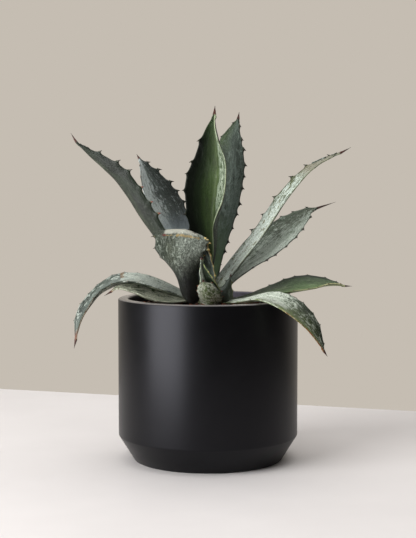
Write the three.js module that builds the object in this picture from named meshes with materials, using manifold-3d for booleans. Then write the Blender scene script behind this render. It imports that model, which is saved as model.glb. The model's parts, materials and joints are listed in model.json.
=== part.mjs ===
// Potted agave: a rosette of toothed leaves in a plain black planter.
// Millimetres, +Z up. The origin is the centre of the pot's flat underside.
import * as THREE from 'three';
import { mergeVertices } from 'three/addons/utils/BufferGeometryUtils.js';
import Module from 'manifold-3d';

const wasm = await Module();
wasm.setup();

// ---------- driving dimensions ----------
const GAP = 0.3; // clearance between pieces that touch
const LEAF_GAP = 0.5; // and between leaf bases, which are never quite parallel

const POT = {
  radius: 115, height: 207, footRadius: 95, chamferHeight: 32, wall: 13, floor: 14, rimRounding: 2.5,
};
const ROUND_SIDES = 48;
const CROWN_SIDES = 20;
const GOLDEN_ANGLE = Math.PI * (3 - Math.sqrt(5)); // spreads the bark chips evenly

const CROWN = { x: -4, y: 2, radius: 26, top: 230, rootBottom: 150, rootRadius: 9 };

const SOIL = { topCentre: 197, topWall: 189 };
const DOME_SHARES = [1, 0.72, 0.45]; // rings of the domed top, as shares of its radius
const MULCH = { thickness: 4, chips: 40, length: [11, 20], width: [6, 10], height: [3, 4.5] };

const MARGIN_THICKNESS = 1.2; // of the blade at its toothed edges
const SPINE_RADIUS = 1.6; // where the blade ends and the hard point of the leaf begins
const TOOTH = { spacing: 17, length: 3.6, halfBase: 2.6, hook: 1.2, wander: 0.12 };
const SCALLOP_DEPTH = 1.3; // how far the margin draws in between two teeth
const STRAIGHT_TAPER = 0.04; // the share of the taper that runs straight to the tip
const BLADE_COLUMNS = 6;
const FRAME_STEPS = 120; // steps in which the blade's side is carried along the midrib

// Each leaf: the points of its midrib from the crown to the end of its spine; the side it
// grows towards (degrees round the crown, 0 = +X, 90 = +Y); its greatest width, the share
// of it at the base, and where it lies along the leaf; how bluntly it comes to its point;
// its thickness at the base; and, evenly spread from base to tip, in degrees, the slope of
// the blade beside the midrib (fold), at the margin (cup), and its turn about the midrib.
// teeth are the shares between which the margin is toothed, and gap is the room between two
// teeth where it differs from the usual one.
// teeth are the shares between which the margin is toothed, and gap is the room between two
// teeth where it differs from the usual one.
// teeth are the shares between which the margin is toothed, and gap is the room between two
// teeth where it differs from the usual one.
const LEAVES = [
  {
    name: 'leaf_front_small', azimuth: -85, width: 31, base: 0.85, widest: 0.45, point: 4, thick: 7,
    midrib: [[0.5, -18, 199], [3, -37, 204.5], [1.5, -50, 213], [-2, -59, 224], [-6.5, -65, 236]],
    fold: [6, 6], cup: [24, 16], roll: [-16, -10], spine: 4, teeth: [0.45, 0.9], gap: 12,
  },
  {
    name: 'leaf_front_right', azimuth: -40, width: 23, base: 0.95, widest: 0.3, point: 1.5, thick: 6,
    midrib: [[13, -16, 196], [21, -26, 207], [24, -30, 220], [29, -31, 240]],
    fold: [5, 5], cup: [30, 20], roll: [-25, -40], spine: 4, teeth: [0.4, 0.9], gap: 12,
  },
  {
    name: 'leaf_front_tip', azimuth: 105, width: 26, base: 0.8, widest: 0.42, point: 1.2, thick: 4.6,
    midrib: [[2, -14, 202], [4, -36, 213], [-1, -56, 231], [-6, -64, 246], [-8, -70, 263]],
    fold: [10, 10], cup: [42, 36], roll: [8], spine: 4, teeth: [0.4, 0.9], gap: 10,
  },
  {
    name: 'leaf_front_folded', azimuth: -95, width: 68, base: 0.36, widest: 0.56, point: 1.6, thick: 7,
    midrib: [[-17, -17, 199], [-23.5, -31, 209], [-27, -43, 228], [-32.5, -55, 249], [-34.5, -61, 269],
      [-33, -58, 285], [-31, -49, 291], [-26, -40, 286], [-14, -34, 268], [-3.5, -31, 252],
      [4.5, -29, 238], [9.5, -28, 223.5]],
    fold: [26, 30, 3, 3, 6], cup: [50, 60, 8, 10, 22], roll: [0, 0, 6, 4, 0],
    spine: 5, teeth: [0.2, 0.94], gap: 14,
  },
  {
    name: 'leaf_centre_tall', azimuth: 95, width: 83, base: 0.24, widest: 0.56, point: 1.7, thick: 6,
    midrib: [[-3, 10, 212], [6, 14, 262], [7.2, 16, 316], [10, 18, 350], [12.2, 19, 380],
      [9.5, 20, 408], [7.8, 21, 430], [9, 22, 453]],
    fold: [35, 35, 24, 38], cup: [66, 66, 58, 74], roll: [-44, -44, -47, -35, -38, -43, -45],
    spine: 11, teeth: [0.3, 0.9], gap: 23,
  },
  {
    name: 'leaf_right_tall', azimuth: 65, width: 54, base: 0.4, widest: 0.66, point: 2, thick: 7,
    midrib: [[0, 14, 208], [7, 30, 250], [21.2, 42, 316], [28.8, 48, 372], [32.2, 49, 408],
      [37.5, 50, 432], [41, 52, 447]],
    fold: [8, 8, 8], cup: [35, 30, 30], roll: [0], spine: 9, teeth: [0.2, 0.95],
  },
  {
    name: 'leaf_left_mid', azimuth: 130, width: 66, base: 0.4, widest: 0.62, point: 1.8, thick: 7,
    midrib: [[-14, 10, 208], [-27, 22, 253], [-50, 36, 312], [-68, 44, 346], [-87, 50, 382],
      [-94, 53, 392]],
    fold: [3, 2, 3], cup: [30, 10, 16], roll: [0, 6, 2], spine: 7, teeth: [0.25, 0.95],
  },
  {
    name: 'leaf_left_long', azimuth: 190, width: 42, base: 0.66, widest: 0.66, point: 1.6, thick: 8,
    midrib: [[-18, -3, 206], [-42, -8, 253], [-71, -12, 299], [-109.5, -18, 356], [-128, -21, 373.5],
      [-149, -24, 391], [-162.5, -29, 403], [-171, -30, 415]],
    fold: [24, 18, 24], cup: [45, 44, 44], roll: [4, 10, 14], spine: 12.5, teeth: [0.25, 0.84], gap: 21,
  },
  {
    name: 'leaf_right_long', azimuth: 12, width: 28, base: 0.85, widest: 0.5, point: 2, thick: 6,
    midrib: [[4, 2, 208], [28, 6, 240.5], [65, 14, 287.5], [98.5, 19, 337], [133, 25, 373.5],
      [185.5, 30, 400]],
    fold: [5, 4, 5], cup: [22, 16, 14], roll: [24, 18, 24], spine: 16, teeth: [0.3, 0.93], gap: 28,
  },
  {
    name: 'leaf_right_mid', azimuth: 25, width: 58, base: 0.55, widest: 0.58, point: 1.7, thick: 7,
    midrib: [[8, 10, 207], [33, 22, 234], [78, 42, 269], [116, 56, 303], [134, 66, 317],
      [171, 76, 329]],
    fold: [5, 5, 5], cup: [26, 12, 8], roll: [10, 20, 18], spine: 27, teeth: [0.25, 0.95],
  },
  {
    name: 'leaf_back_tall', azimuth: 85, width: 52, base: 0.6, widest: 0.5, point: 1.8, thick: 7,
    midrib: [[-3, 20, 208], [-1, 44, 240], [2, 70, 290], [2, 96, 335], [0, 128, 368], [-2, 150, 380]],
    fold: [8, 8, 8], cup: [36, 34, 34], roll: [0], spine: 14, teeth: [0.2, 0.93],
  },
  {
    name: 'leaf_back_left', azimuth: 140, width: 48, base: 0.6, widest: 0.5, point: 1.8, thick: 7,
    midrib: [[-14, 18, 206], [-34, 42, 238], [-58, 70, 284], [-78, 94, 322], [-96, 116, 344]],
    fold: [8, 8, 8], cup: [36, 34, 34], roll: [0], spine: 14, teeth: [0.2, 0.93],
  },
  {
    name: 'leaf_right_low_back', azimuth: 20, width: 44, base: 0.4, widest: 0.6, point: 2.1, thick: 6,
    midrib: [[18, 10, 201], [49, 22, 202], [83, 34, 209.8], [118, 45, 217.2], [152, 54, 220.6],
      [192, 60, 217]],
    fold: [8, 6, 8, 14], cup: [24, 20, 22, 42], roll: [6, 10, 20, 0], spine: 10, teeth: [0.35, 0.96],
  },
  {
    name: 'leaf_right_low_front', azimuth: -48, width: 40, base: 0.25, widest: 0.66, point: 2.2, thick: 6,
    midrib: [[13, -16, 202], [40, -46, 206.5], [74, -86, 212.8], [98, -100, 202.8], [121, -106, 182],
      [135, -107, 160], [143, -106, 145]],
    fold: [4, 8, 10], cup: [14, 20, 24], roll: [14, 14, 6], spine: 8, teeth: [0.35, 0.96],
  },
  {
    name: 'leaf_left_low_long', azimuth: 187, width: 36, base: 0.6, widest: 0.3, point: 3.4, thick: 6,
    midrib: [[-20, -5, 206], [-60, -14, 221.5], [-90, -20, 230], [-114, -22.5, 229.5],
      [-134, -24, 219.5], [-150, -25.5, 202], [-160, -27, 186], [-165.5, -29, 168], [-169, -30, 145]],
    fold: [8, 10, 12], cup: [18, 20, 22], roll: [-14, -17, -15, -10, -26, -30],
    spine: 11, teeth: [0.3, 0.9],
  },
  {
    name: 'leaf_left_low_short', azimuth: 203, width: 48, base: 0.45, widest: 0.45, point: 1.6, thick: 5,
    midrib: [[-19, -10, 205], [-50, -24, 207.5], [-77, -34, 214.5], [-94, -40, 220], [-114, -44, 222],
      [-129, -47, 213]],
    fold: [5, 5, 8], cup: [16, 16, 22], roll: [-14, -24, -12], spine: 10, teeth: [0.4, 0.94],
  },
  {
    name: 'leaf_back_low', azimuth: 88, width: 40, base: 0.7, widest: 0.5, point: 1.9, thick: 6,
    midrib: [[-3, 24, 205], [-2, 58, 219], [0, 96, 226], [2, 132, 216], [3, 158, 186], [3, 168, 156]],
    fold: [8, 10, 12], cup: [30, 30, 34], roll: [0], spine: 10, teeth: [0.3, 0.93],
  },
];

// ---------- solids ----------
function solidFrom(geometry) {
  const bare = geometry.clone();
  bare.deleteAttribute('normal');
  bare.deleteAttribute('uv');
  const merged = mergeVertices(bare, 1e-4);
  return new wasm.Manifold(new wasm.Mesh({
    numProp: 3,
    vertProperties: new Float32Array(merged.attributes.position.array),
    triVerts: new Uint32Array(merged.index.array),
  }));
}

function geometryFrom(solid) {
  const { vertProperties, triVerts } = solid.getMesh();
  const geometry = new THREE.BufferGeometry();
  geometry.setAttribute('position', new THREE.BufferAttribute(new Float32Array(vertProperties), 3));
  geometry.setIndex(new THREE.BufferAttribute(new Uint32Array(triVerts), 1));
  geometry.computeVertexNormals();
  return geometry;
}

// A cut can leave loose crumbs beside the piece itself.
function largestBody(solid) {
  const bodies = solid.decompose();
  return bodies.reduce((most, body) => (body.volume() > most.volume() ? body : most));
}

function randomFrom(seed) {
  let state = seed;
  return (low, high) => {
    state = (state * 1664525 + 1013904223) % 4294967296;
    return low + (high - low) * (state / 4294967296);
  };
}

function turned(profile, sides = ROUND_SIDES) {
  const points = profile.map(([radius, height]) => new THREE.Vector2(radius, height));
  return new THREE.LatheGeometry(points, sides).rotateX(Math.PI / 2);
}

// ---------- pot ----------
function potGeometry() {
  const { radius, height, footRadius, chamferHeight, wall, floor, rimRounding: round } = POT;
  const corner = round * (1 - Math.SQRT1_2);
  const inner = radius - wall;
  return turned([
    [0, 0], [footRadius - 1, 0], [footRadius, 1], [radius - 0.6, chamferHeight - 0.6],
    [radius, chamferHeight + 1], [radius, height - round], [radius - corner, height - corner],
    [radius - round, height], [inner + round, height], [inner + corner, height - corner],
    [inner, height - round], [inner, chamferHeight + 4], [footRadius - wall, floor], [0, floor],
  ]);
}

// ---------- crown, soil and mulch ----------
// Outline of the crown, made wider all round by grow: a root end in the soil, a short
// thick stem and a domed growing point.
function crownProfile(grow) {
  const { radius, top, rootBottom, rootRadius } = CROWN;
  const soilLine = SOIL.topCentre;
  return [
    [0, rootBottom - grow], [rootRadius + grow, rootBottom - grow], [radius * 0.8 + grow, soilLine - 22],
    [radius + grow, soilLine], [radius + grow, soilLine + 10], [radius * 0.74 + grow, soilLine + 22],
    [radius * 0.34 + grow, top - 2], [0, top + grow],
  ];
}

function crownSolid(grow) {
  return solidFrom(turned(crownProfile(grow), CROWN_SIDES).translate(CROWN.x, CROWN.y, 0));
}

function domeHeight(share, lift) {
  return SOIL.topWall + (SOIL.topCentre - SOIL.topWall) * (1 - share ** 2) + lift;
}

function soilSolid() {
  const inner = POT.radius - POT.wall - GAP;
  const dome = DOME_SHARES.map((share) => [inner * share, domeHeight(share, 0)]);
  const body = turned([
    [0, POT.floor + GAP], [POT.footRadius - POT.wall - GAP, POT.floor + GAP],
    [inner, POT.chamferHeight + 4 + GAP], ...dome, [0, SOIL.topCentre],
  ]);
  return solidFrom(body).subtract(crownSolid(GAP));
}

function chipGeometry(random) {
  const [length, width, height] = [MULCH.length, MULCH.width, MULCH.height].map((range) => random(...range));
  const chip = new THREE.BoxGeometry(length, width, height);
  const corners = mergeVertices(chip.deleteAttribute('normal').deleteAttribute('uv'));
  const place = corners.attributes.position;
  for (let i = 0; i < place.count; i += 1) {
    place.setXYZ(i, place.getX(i) * random(0.7, 1.1), place.getY(i) * random(0.6, 1.2), place.getZ(i));
  }
  return corners;
}

// A thin domed bed of bark with chips lying on it, each sunk halfway in.
function mulchSolid() {
  const inner = POT.radius - POT.wall - GAP;
  const under = DOME_SHARES.map((share) => [inner * share, domeHeight(share, GAP)]).reverse();
  const over = DOME_SHARES.map((share) => [inner * share, domeHeight(share, GAP + MULCH.thickness)]);
  let bed = solidFrom(turned([[0, SOIL.topCentre + GAP], ...under, ...over,
    [0, SOIL.topCentre + GAP + MULCH.thickness]]));
  const random = randomFrom(11);
  for (let i = 0; i < MULCH.chips; i += 1) {
    const share = Math.sqrt(random(0.1, 0.8));
    const angle = i * GOLDEN_ANGLE;
    const chip = chipGeometry(random)
      .rotateX(random(-0.25, 0.25)).rotateY(random(-0.25, 0.25)).rotateZ(random(0, Math.PI))
      .translate(inner * share * Math.cos(angle), inner * share * Math.sin(angle),
        domeHeight(share, GAP + MULCH.thickness + 0.2));
    bed = bed.add(solidFrom(chip));
  }
  return bed.subtract(crownSolid(GAP)).subtract(soilSolid().translate(0, 0, GAP));
}

// ---------- leaves ----------
// The value at share u of a list spread evenly from base to tip, eased between its entries.
function along(values, u) {
  if (values.length === 1) return values[0];
  const place = u * (values.length - 1);
  const i = Math.min(Math.floor(place), values.length - 2);
  const weight = THREE.MathUtils.smoothstep(place - i, 0, 1);
  return values[i] * (1 - weight) + values[i + 1] * weight;
}

function midribCurve(leaf) {
  return new THREE.CatmullRomCurve3(leaf.midrib.map((point) => new THREE.Vector3(...point)));
}

function halfWidth(leaf, u, bladeEnd) {
  const { width, base, widest, point } = leaf;
  const rise = base + (1 - base) * THREE.MathUtils.smoothstep(u, 0, widest);
  const fall = THREE.MathUtils.clamp((u - widest) / (bladeEnd - widest), 0, 1);
  const taper = (1 - STRAIGHT_TAPER) * (1 - fall ** point) + STRAIGHT_TAPER * (1 - fall);
  return Math.max((width / 2) * (u < widest ? rise : taper), SPINE_RADIUS);
}

// Place, tangent, side and normal of the midrib at each share. The side starts level, at
// right angles to the leaf's azimuth, and turns with the midrib no more than it has to.
function midribFrames(leaf, shares) {
  const curve = midribCurve(leaf);
  const azimuth = THREE.MathUtils.degToRad(leaf.azimuth);
  const side = new THREE.Vector3(-Math.sin(azimuth), Math.cos(azimuth), 0);
  const sides = [];
  for (let i = 0; i <= FRAME_STEPS; i += 1) {
    side.addScaledVector(curve.getTangentAt(i / FRAME_STEPS), -side.dot(curve.getTangentAt(i / FRAME_STEPS)));
    sides.push(side.normalize().clone());
  }
  return shares.map((u) => {
    const tangent = curve.getTangentAt(u);
    const across = sides[Math.round(u * FRAME_STEPS)].clone();
    across.addScaledVector(tangent, -across.dot(tangent)).normalize();
    across.applyAxisAngle(tangent, THREE.MathUtils.degToRad(along(leaf.roll, u)));
    return { u, place: curve.getPointAt(u), tangent, side: across, normal: tangent.clone().cross(across) };
  });
}

// A point of the blade's cross-section, which is an arc whose slope goes from fold beside
// the midrib to cup at the margin. q runs from -1 at the left margin to 1 at the right, and
// past 1 out along the margin's own slope.
function bladePoint(leaf, frame, half, q, depth) {
  const fold = THREE.MathUtils.degToRad(along(leaf.fold, frame.u));
  const cup = THREE.MathUtils.degToRad(along(leaf.cup, frame.u));
  const bend = Math.abs(cup - fold) < 0.01 ? 0.01 : cup - fold;
  const reach = Math.min(Math.abs(q), 1);
  const beyond = (Math.abs(q) - reach) * half;
  const slope = fold + bend * reach;
  const across = (half * (Math.sin(slope) - Math.sin(fold))) / bend + beyond * Math.cos(slope);
  const up = (half * (Math.cos(fold) - Math.cos(slope))) / bend + beyond * Math.sin(slope);
  return frame.place.clone()
    .addScaledVector(frame.side, Math.sign(q) * (across + depth * Math.sin(slope)))
    .addScaledVector(frame.normal, up - depth * Math.cos(slope));
}

// How far the underside lies below the upper face: fleshy at the midrib and the base, thin
// at the margins and the tip.
function bladeThickness(leaf, u, half, q) {
  const edge = MARGIN_THICKNESS * Math.min(1, 8 * (1 - u) + 0.4);
  const fullness = THREE.MathUtils.clamp((2 * half) / leaf.width, 0.1, 1);
  const flesh = leaf.thick * (0.35 + 0.65 * (1 - u)) * fullness;
  return edge + flesh * (1 - Math.min(Math.abs(q), 1) ** 1.6);
}

// The triangles of a thin blade. A station is a pair of vertices, one on the upper face
// and one on the lower, so that both faces are split alike.
class BladeShell {
  constructor() {
    this.places = [];
    this.triangles = [];
  }

  station(upper, lower) {
    this.places.push(upper, lower);
    return this.places.length - 2;
  }

  triangle(a, b, c, flip) {
    this.triangles.push(a, flip ? c : b, flip ? b : c);
  }

  faces(a, b, c, flip) {
    this.triangle(a, b, c, flip);
    this.triangle(a + 1, b + 1, c + 1, !flip);
  }

  edge(a, b, flip) {
    this.triangle(a, b, b + 1, flip);
    this.triangle(a, b + 1, a + 1, flip);
  }

  geometry() {
    const geometry = new THREE.BufferGeometry().setFromPoints(this.places);
    return geometry.setIndex(this.triangles);
  }
}

// The shares of one stretch of margin that carry its tooth: before, point and after.
function toothShares(leaf, length, from, to, wander, grow) {
  const middle = (from + to) / 2 + TOOTH.wander * (to - from) * wander;
  if (middle < leaf.teeth[0] || middle > leaf.teeth[1]) return [];
  const reach = (TOOTH.halfBase + grow) / length;
  return [middle - reach, middle - TOOTH.hook / length, middle + reach];
}

// Columns run beside the midrib, and the two margins have three stations more in each
// stretch between rows, for the tooth. grow makes the whole blade fatter all round.
function leafGeometry(leaf, grow = 0) {
  const length = midribCurve(leaf).getLength();
  const bladeEnd = 1 - leaf.spine / length;
  const spacing = leaf.gap ?? TOOTH.spacing;
  const stretches = Math.max(4, Math.round((length * bladeEnd) / spacing));
  const shares = Array.from({ length: stretches + 1 }, (_, i) => (i / stretches) * bladeEnd);
  const rows = midribFrames(leaf, shares);
  rows[0].place.addScaledVector(rows[0].tangent, -grow);
  const shell = new BladeShell();

  const stationAt = (frame, q, outward = 0) => {
    const half = halfWidth(leaf, frame.u, bladeEnd);
    const stretched = q + (Math.sign(q) * outward) / half;
    const thickness = bladeThickness(leaf, frame.u, half, q);
    return shell.station(bladePoint(leaf, frame, half, stretched, -grow),
      bladePoint(leaf, frame, half, stretched, thickness + grow));
  };
  const marginRun = (sign) => rows.map((frame, i) => {
    const scalloped = frame.u > leaf.teeth[0] && i < stretches;
    const start = stationAt(frame, sign, grow - (scalloped ? SCALLOP_DEPTH : 0));
    if (i === stretches) return [start];
    const wander = Math.sin(2.3 * i + sign + leaf.azimuth);
    const size = TOOTH.length * (0.85 + 0.3 * wander ** 2);
    const tooth = midribFrames(leaf, toothShares(leaf, length, frame.u, rows[i + 1].u, wander, grow))
      .map((at, k) => stationAt(at, sign, grow + (k === 1 ? size : 0)));
    return [start, ...tooth];
  });
  const columns = rows.map((frame) => Array.from({ length: BLADE_COLUMNS - 1 },
    (_, c) => stationAt(frame, (2 * (c + 1)) / BLADE_COLUMNS - 1)));

  for (let r = 0; r < stretches; r += 1) {
    for (let c = 0; c < BLADE_COLUMNS - 2; c += 1) {
      shell.faces(columns[r][c], columns[r + 1][c], columns[r][c + 1]);
      shell.faces(columns[r + 1][c], columns[r + 1][c + 1], columns[r][c + 1]);
    }
  }
  const margins = [marginRun(-1), marginRun(1)];
  margins.forEach((margin, sideIndex) => {
    const isRight = sideIndex === 1;
    const beside = rows.map((_, r) => columns[r][isRight ? BLADE_COLUMNS - 2 : 0]);
    for (let r = 0; r < stretches; r += 1) {
      const run = [...margin[r], margin[r + 1][0]];
      const turn = Math.floor(run.length / 2);
      for (let k = 0; k < run.length - 1; k += 1) {
        shell.faces(beside[k < turn ? r : r + 1], run[k], run[k + 1], isRight);
        shell.edge(run[k], run[k + 1], !isRight);
      }
      shell.faces(beside[r], run[turn], beside[r + 1], isRight);
    }
  });
  closeEnds(shell, rows, columns, margins, curveEnd(leaf, grow));
  return shell.geometry();
}

function curveEnd(leaf, grow) {
  const curve = midribCurve(leaf);
  return curve.getPointAt(1).addScaledVector(curve.getTangentAt(1), grow);
}

// A flat end inside the crown, and the spine drawn out to its point.
function closeEnds(shell, rows, columns, margins, tipPlace) {
  const ring = (r) => [margins[0][r][0], ...columns[r], margins[1][r][0]];
  const first = ring(0);
  const last = ring(rows.length - 1);
  const tip = shell.places.push(tipPlace) - 1;
  for (let k = 0; k < first.length - 1; k += 1) {
    shell.edge(first[k], first[k + 1]);
    shell.triangle(last[k], tip, last[k + 1]);
    shell.triangle(last[k] + 1, last[k + 1] + 1, tip);
  }
  const right = last.at(-1);
  shell.triangle(last[0], last[0] + 1, tip);
  shell.triangle(right, tip, right + 1);
}

// ---------- the whole ----------
const COLOURS = {
  pot: [0x1c1c1e, 0.45], soil: [0x2b2019, 0.95], bark_mulch: [0x8a4a2c, 0.9], crown: [0x8f9a78, 0.7],
  leaf: [0x5f7466, 0.55],
};

function piece(name, solid, colourName = name) {
  const [color, roughness] = COLOURS[colourName];
  const material = new THREE.MeshStandardMaterial({ color, roughness, metalness: 0 });
  const mesh = new THREE.Mesh(geometryFrom(solid), material);
  mesh.name = name;
  return mesh;
}

// Every leaf is cut back to a hair's breadth from the crown, the soil and the leaves
// placed before it, as leaf bases press against each other round a crown.
function leafSolids() {
  const soilAbove = soilSolid().translate(0, 0, GAP);
  const solids = [];
  const grown = [crownSolid(GAP), soilAbove];
  LEAVES.forEach((leaf) => {
    const whole = solidFrom(leafGeometry(leaf));
    const trimmed = [...grown, ...solids].reduce((solid, neighbour) => solid.subtract(neighbour), whole);
    solids.push(largestBody(trimmed));
    grown.push(solidFrom(leafGeometry(leaf, LEAF_GAP)));
  });
  return { solids, grown: grown.slice(2) };
}

function pottedAgave() {
  const group = new THREE.Group();
  const { solids, grown } = leafSolids();
  const mulch = grown.reduce((bed, leaf) => bed.subtract(leaf), mulchSolid());
  group.add(piece('pot', solidFrom(potGeometry())));
  group.add(piece('soil', soilSolid()));
  group.add(piece('bark_mulch', largestBody(mulch)));
  group.add(piece('crown', crownSolid(0)));
  solids.forEach((solid, i) => group.add(piece(LEAVES[i].name, solid, 'leaf')));
  return group;
}

export default pottedAgave();
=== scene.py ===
# %% [markdown]
# # A potted agave
#
# A rosette of long, toothed, grey-green leaves stands in a plain black planter. The leaves
# are fleshy blades with a waxy bloom, small horny teeth along both margins and one hard
# spine at the tip. Old leaves arch over the rim, and one at the front has buckled and folded
# over. The script loads the solid model as a fixed frame and then dresses it piece by
# piece, in metres, +Z up, with the viewer at -Y.

# %% Load the solid model
import json
import math
import random
from dataclasses import dataclass, fields

import bpy
import numpy as np
from mathutils import Matrix, Vector, noise

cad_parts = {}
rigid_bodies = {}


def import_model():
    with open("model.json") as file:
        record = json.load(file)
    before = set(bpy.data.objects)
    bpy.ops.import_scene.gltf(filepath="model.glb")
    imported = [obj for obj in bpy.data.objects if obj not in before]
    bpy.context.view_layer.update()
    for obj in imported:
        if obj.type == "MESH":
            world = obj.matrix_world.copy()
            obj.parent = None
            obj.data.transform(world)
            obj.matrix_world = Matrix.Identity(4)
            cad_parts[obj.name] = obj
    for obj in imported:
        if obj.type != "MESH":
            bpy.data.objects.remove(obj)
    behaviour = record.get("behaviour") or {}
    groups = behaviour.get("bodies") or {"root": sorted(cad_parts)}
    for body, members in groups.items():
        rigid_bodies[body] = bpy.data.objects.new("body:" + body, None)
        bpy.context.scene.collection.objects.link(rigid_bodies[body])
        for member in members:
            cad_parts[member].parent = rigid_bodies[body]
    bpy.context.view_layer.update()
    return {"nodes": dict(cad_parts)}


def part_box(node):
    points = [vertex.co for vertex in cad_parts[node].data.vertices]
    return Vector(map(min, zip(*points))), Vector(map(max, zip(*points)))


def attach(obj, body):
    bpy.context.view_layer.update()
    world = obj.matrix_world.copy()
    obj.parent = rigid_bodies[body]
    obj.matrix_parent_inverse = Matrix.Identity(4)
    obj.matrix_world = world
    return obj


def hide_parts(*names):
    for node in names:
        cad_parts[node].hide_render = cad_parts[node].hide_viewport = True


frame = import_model()


# %% [markdown]
# ## Small helpers
#
# Loading leaves everything selected, and an operator works on all that is selected. So each
# piece starts by deselecting everything, and picks its own vertices in code by their place.

# %% Selecting and finishing
def deselect_all():
    for item in bpy.context.scene.objects:
        item.select_set(False)


def make_active(piece):
    deselect_all()
    piece.select_set(True)
    bpy.context.view_layer.objects.active = piece


def pick_vertices(piece, wanted):
    """Selects, for edit mode, the vertices whose place passes the test."""
    bpy.ops.object.mode_set(mode="OBJECT")
    mesh = piece.data
    mesh.polygons.foreach_set("select", [False] * len(mesh.polygons))
    mesh.edges.foreach_set("select", [False] * len(mesh.edges))
    mesh.vertices.foreach_set("select", [bool(wanted(v.co)) for v in mesh.vertices])
    bpy.ops.object.mode_set(mode="EDIT")
    bpy.ops.mesh.select_mode(type="VERT")


def hand_over(piece, slot, *nodes):
    """The piece stands in for its solid nodes, and stays with the pot."""
    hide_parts(*nodes)
    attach(piece, "root")
    print(piece.name, len(piece.data.polygons), "faces")


deselect_all()


# %% [markdown]
# ## The camera
#
# The picture was taken from the front, about a metre and a half away and a little above the
# pot's rim, with a long lens tilted down by a few degrees. A long lens keeps the pot's
# sides parallel and shows the rim as a thin ellipse.

# %% Place the camera
EYE = Vector((0.0, -1.521, 0.336))
TILT_DOWN = math.radians(3.48)
LENS_MM = 79.56

camera_data = bpy.data.cameras.new("camera")
camera_data.lens = LENS_MM
camera = bpy.data.objects.new("camera", camera_data)
camera.location = EYE
camera.rotation_euler = (math.pi / 2 - TILT_DOWN, 0, 0)
bpy.context.scene.collection.objects.link(camera)
bpy.context.scene.camera = camera
print("camera at", tuple(EYE))


# %% [markdown]
# ## Writing a finish
#
# A finish is a tree of nodes. Wiring it by hand takes many lines a node, so two small classes
# keep each recipe readable: every method adds one node and returns its output, and a recipe
# reads from top to bottom like a list of coats of paint. The first class also serves the
# world. Colours are given as they look on a screen, 0 to 255, and turned into the linear
# values that the shader wants.

# %% A helper for node trees
def paint(red, green, blue):
    def linear(value):
        share = value / 255
        return share / 12.92 if share < 0.04045 else ((share + 0.055) / 1.055) ** 2.4

    return (linear(red), linear(green), linear(blue), 1.0)


class Tree:
    """Adds nodes to a tree, one a call, and returns what they put out."""

    def __init__(self, tree):
        self.tree = tree

    def add(self, kind, **settings):
        made = self.tree.nodes.new("ShaderNode" + kind)
        for key, value in settings.items():
            setattr(made, key, value)
        return made

    def feed(self, socket, value):
        if isinstance(value, bpy.types.NodeSocket):
            self.tree.links.new(value, socket)
        else:
            socket.default_value = value

    def math(self, operation, first, second=0.0):
        made = self.add("Math", operation=operation)
        self.feed(made.inputs[0], first)
        self.feed(made.inputs[1], second)
        return made.outputs[0]

    def plus(self, first, second):
        return self.math("ADD", first, second)

    def minus(self, first, second):
        return self.math("SUBTRACT", first, second)

    def times(self, first, second):
        return self.math("MULTIPLY", first, second)

    def split(self, vector):
        made = self.add("SeparateXYZ")
        self.feed(made.inputs[0], vector)
        return tuple(made.outputs)

    def fade(self, value, start, end, low=0.0, high=1.0):
        """Goes smoothly from low to high while the value goes from start to end."""
        made = self.add("MapRange", interpolation_type="SMOOTHSTEP")
        self.feed(made.inputs["Value"], value)
        made.inputs["From Min"].default_value = start
        made.inputs["From Max"].default_value = end
        made.inputs["To Min"].default_value = low
        made.inputs["To Max"].default_value = high
        return made.outputs["Result"]

    def coat(self, under, over, cover, blend="MIX"):
        """One coat of paint over another, as far as cover lets it through."""
        made = self.add("Mix", data_type="RGBA", blend_type=blend)
        self.feed(made.inputs[0], cover)
        self.feed(made.inputs[6], under)
        self.feed(made.inputs[7], over)
        return made.outputs[2]


print("grey 128 as the shader wants it:", round(paint(128, 128, 128)[0], 3))


# %% A material on top of it
class Finish(Tree):
    def __init__(self, name):
        self.material = bpy.data.materials.new(name)
        self.material.use_nodes = True
        super().__init__(self.material.node_tree)
        self.shader = self.tree.nodes["Principled BSDF"]

    def noise(self, place, scale, detail=3.0, roughness=0.55, swirl=0.0):
        made = self.add("TexNoise")
        made.inputs["Distortion"].default_value = swirl
        self.feed(made.inputs["Vector"], place)
        made.inputs["Scale"].default_value = scale
        made.inputs["Detail"].default_value = detail
        made.inputs["Roughness"].default_value = roughness
        return made.outputs["Fac"]

    def stretch(self, place, factors):
        made = self.add("VectorMath", operation="MULTIPLY")
        self.feed(made.inputs[0], place)
        made.inputs[1].default_value = factors
        return made.outputs[0]

    def ramp(self, value, stops):
        made = self.add("ValToRGB")
        self.feed(made.inputs["Fac"], value)
        points = made.color_ramp.elements
        while len(points) < len(stops):
            points.new(0.5)
        for point, (place, colour) in zip(points, stops):
            point.position = place
            point.color = colour
        made.color_ramp.interpolation = "EASE"
        return made.outputs["Color"]

    def bump(self, height, depth, strength=1.0):
        made = self.add("Bump")
        made.inputs["Strength"].default_value = strength
        made.inputs["Distance"].default_value = depth
        self.feed(made.inputs["Height"], height)
        return made.outputs["Normal"]

    def object_place(self):
        return self.add("TexCoord").outputs["Object"]

    def done(self, colour, roughness, normal=None, specular=0.5):
        self.feed(self.shader.inputs["Base Color"], colour)
        self.feed(self.shader.inputs["Roughness"], roughness)
        self.shader.inputs["Specular IOR Level"].default_value = specular
        if normal is not None:
            self.feed(self.shader.inputs["Normal"], normal)
        return self.material


print("materials so far:", len(bpy.data.materials))


# %% [markdown]
# ## The pot
#
# The planter is one thick-walled shell: a straight wall, a chamfered foot and a rounded rim.
# It could be spun from a profile, but a cylinder that is cut, inset and extruded shows its
# real dimensions step by step, and bevels then soften the edges that catch the light. It
# has many more sides than the solid, so that its long highlight runs true.

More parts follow.
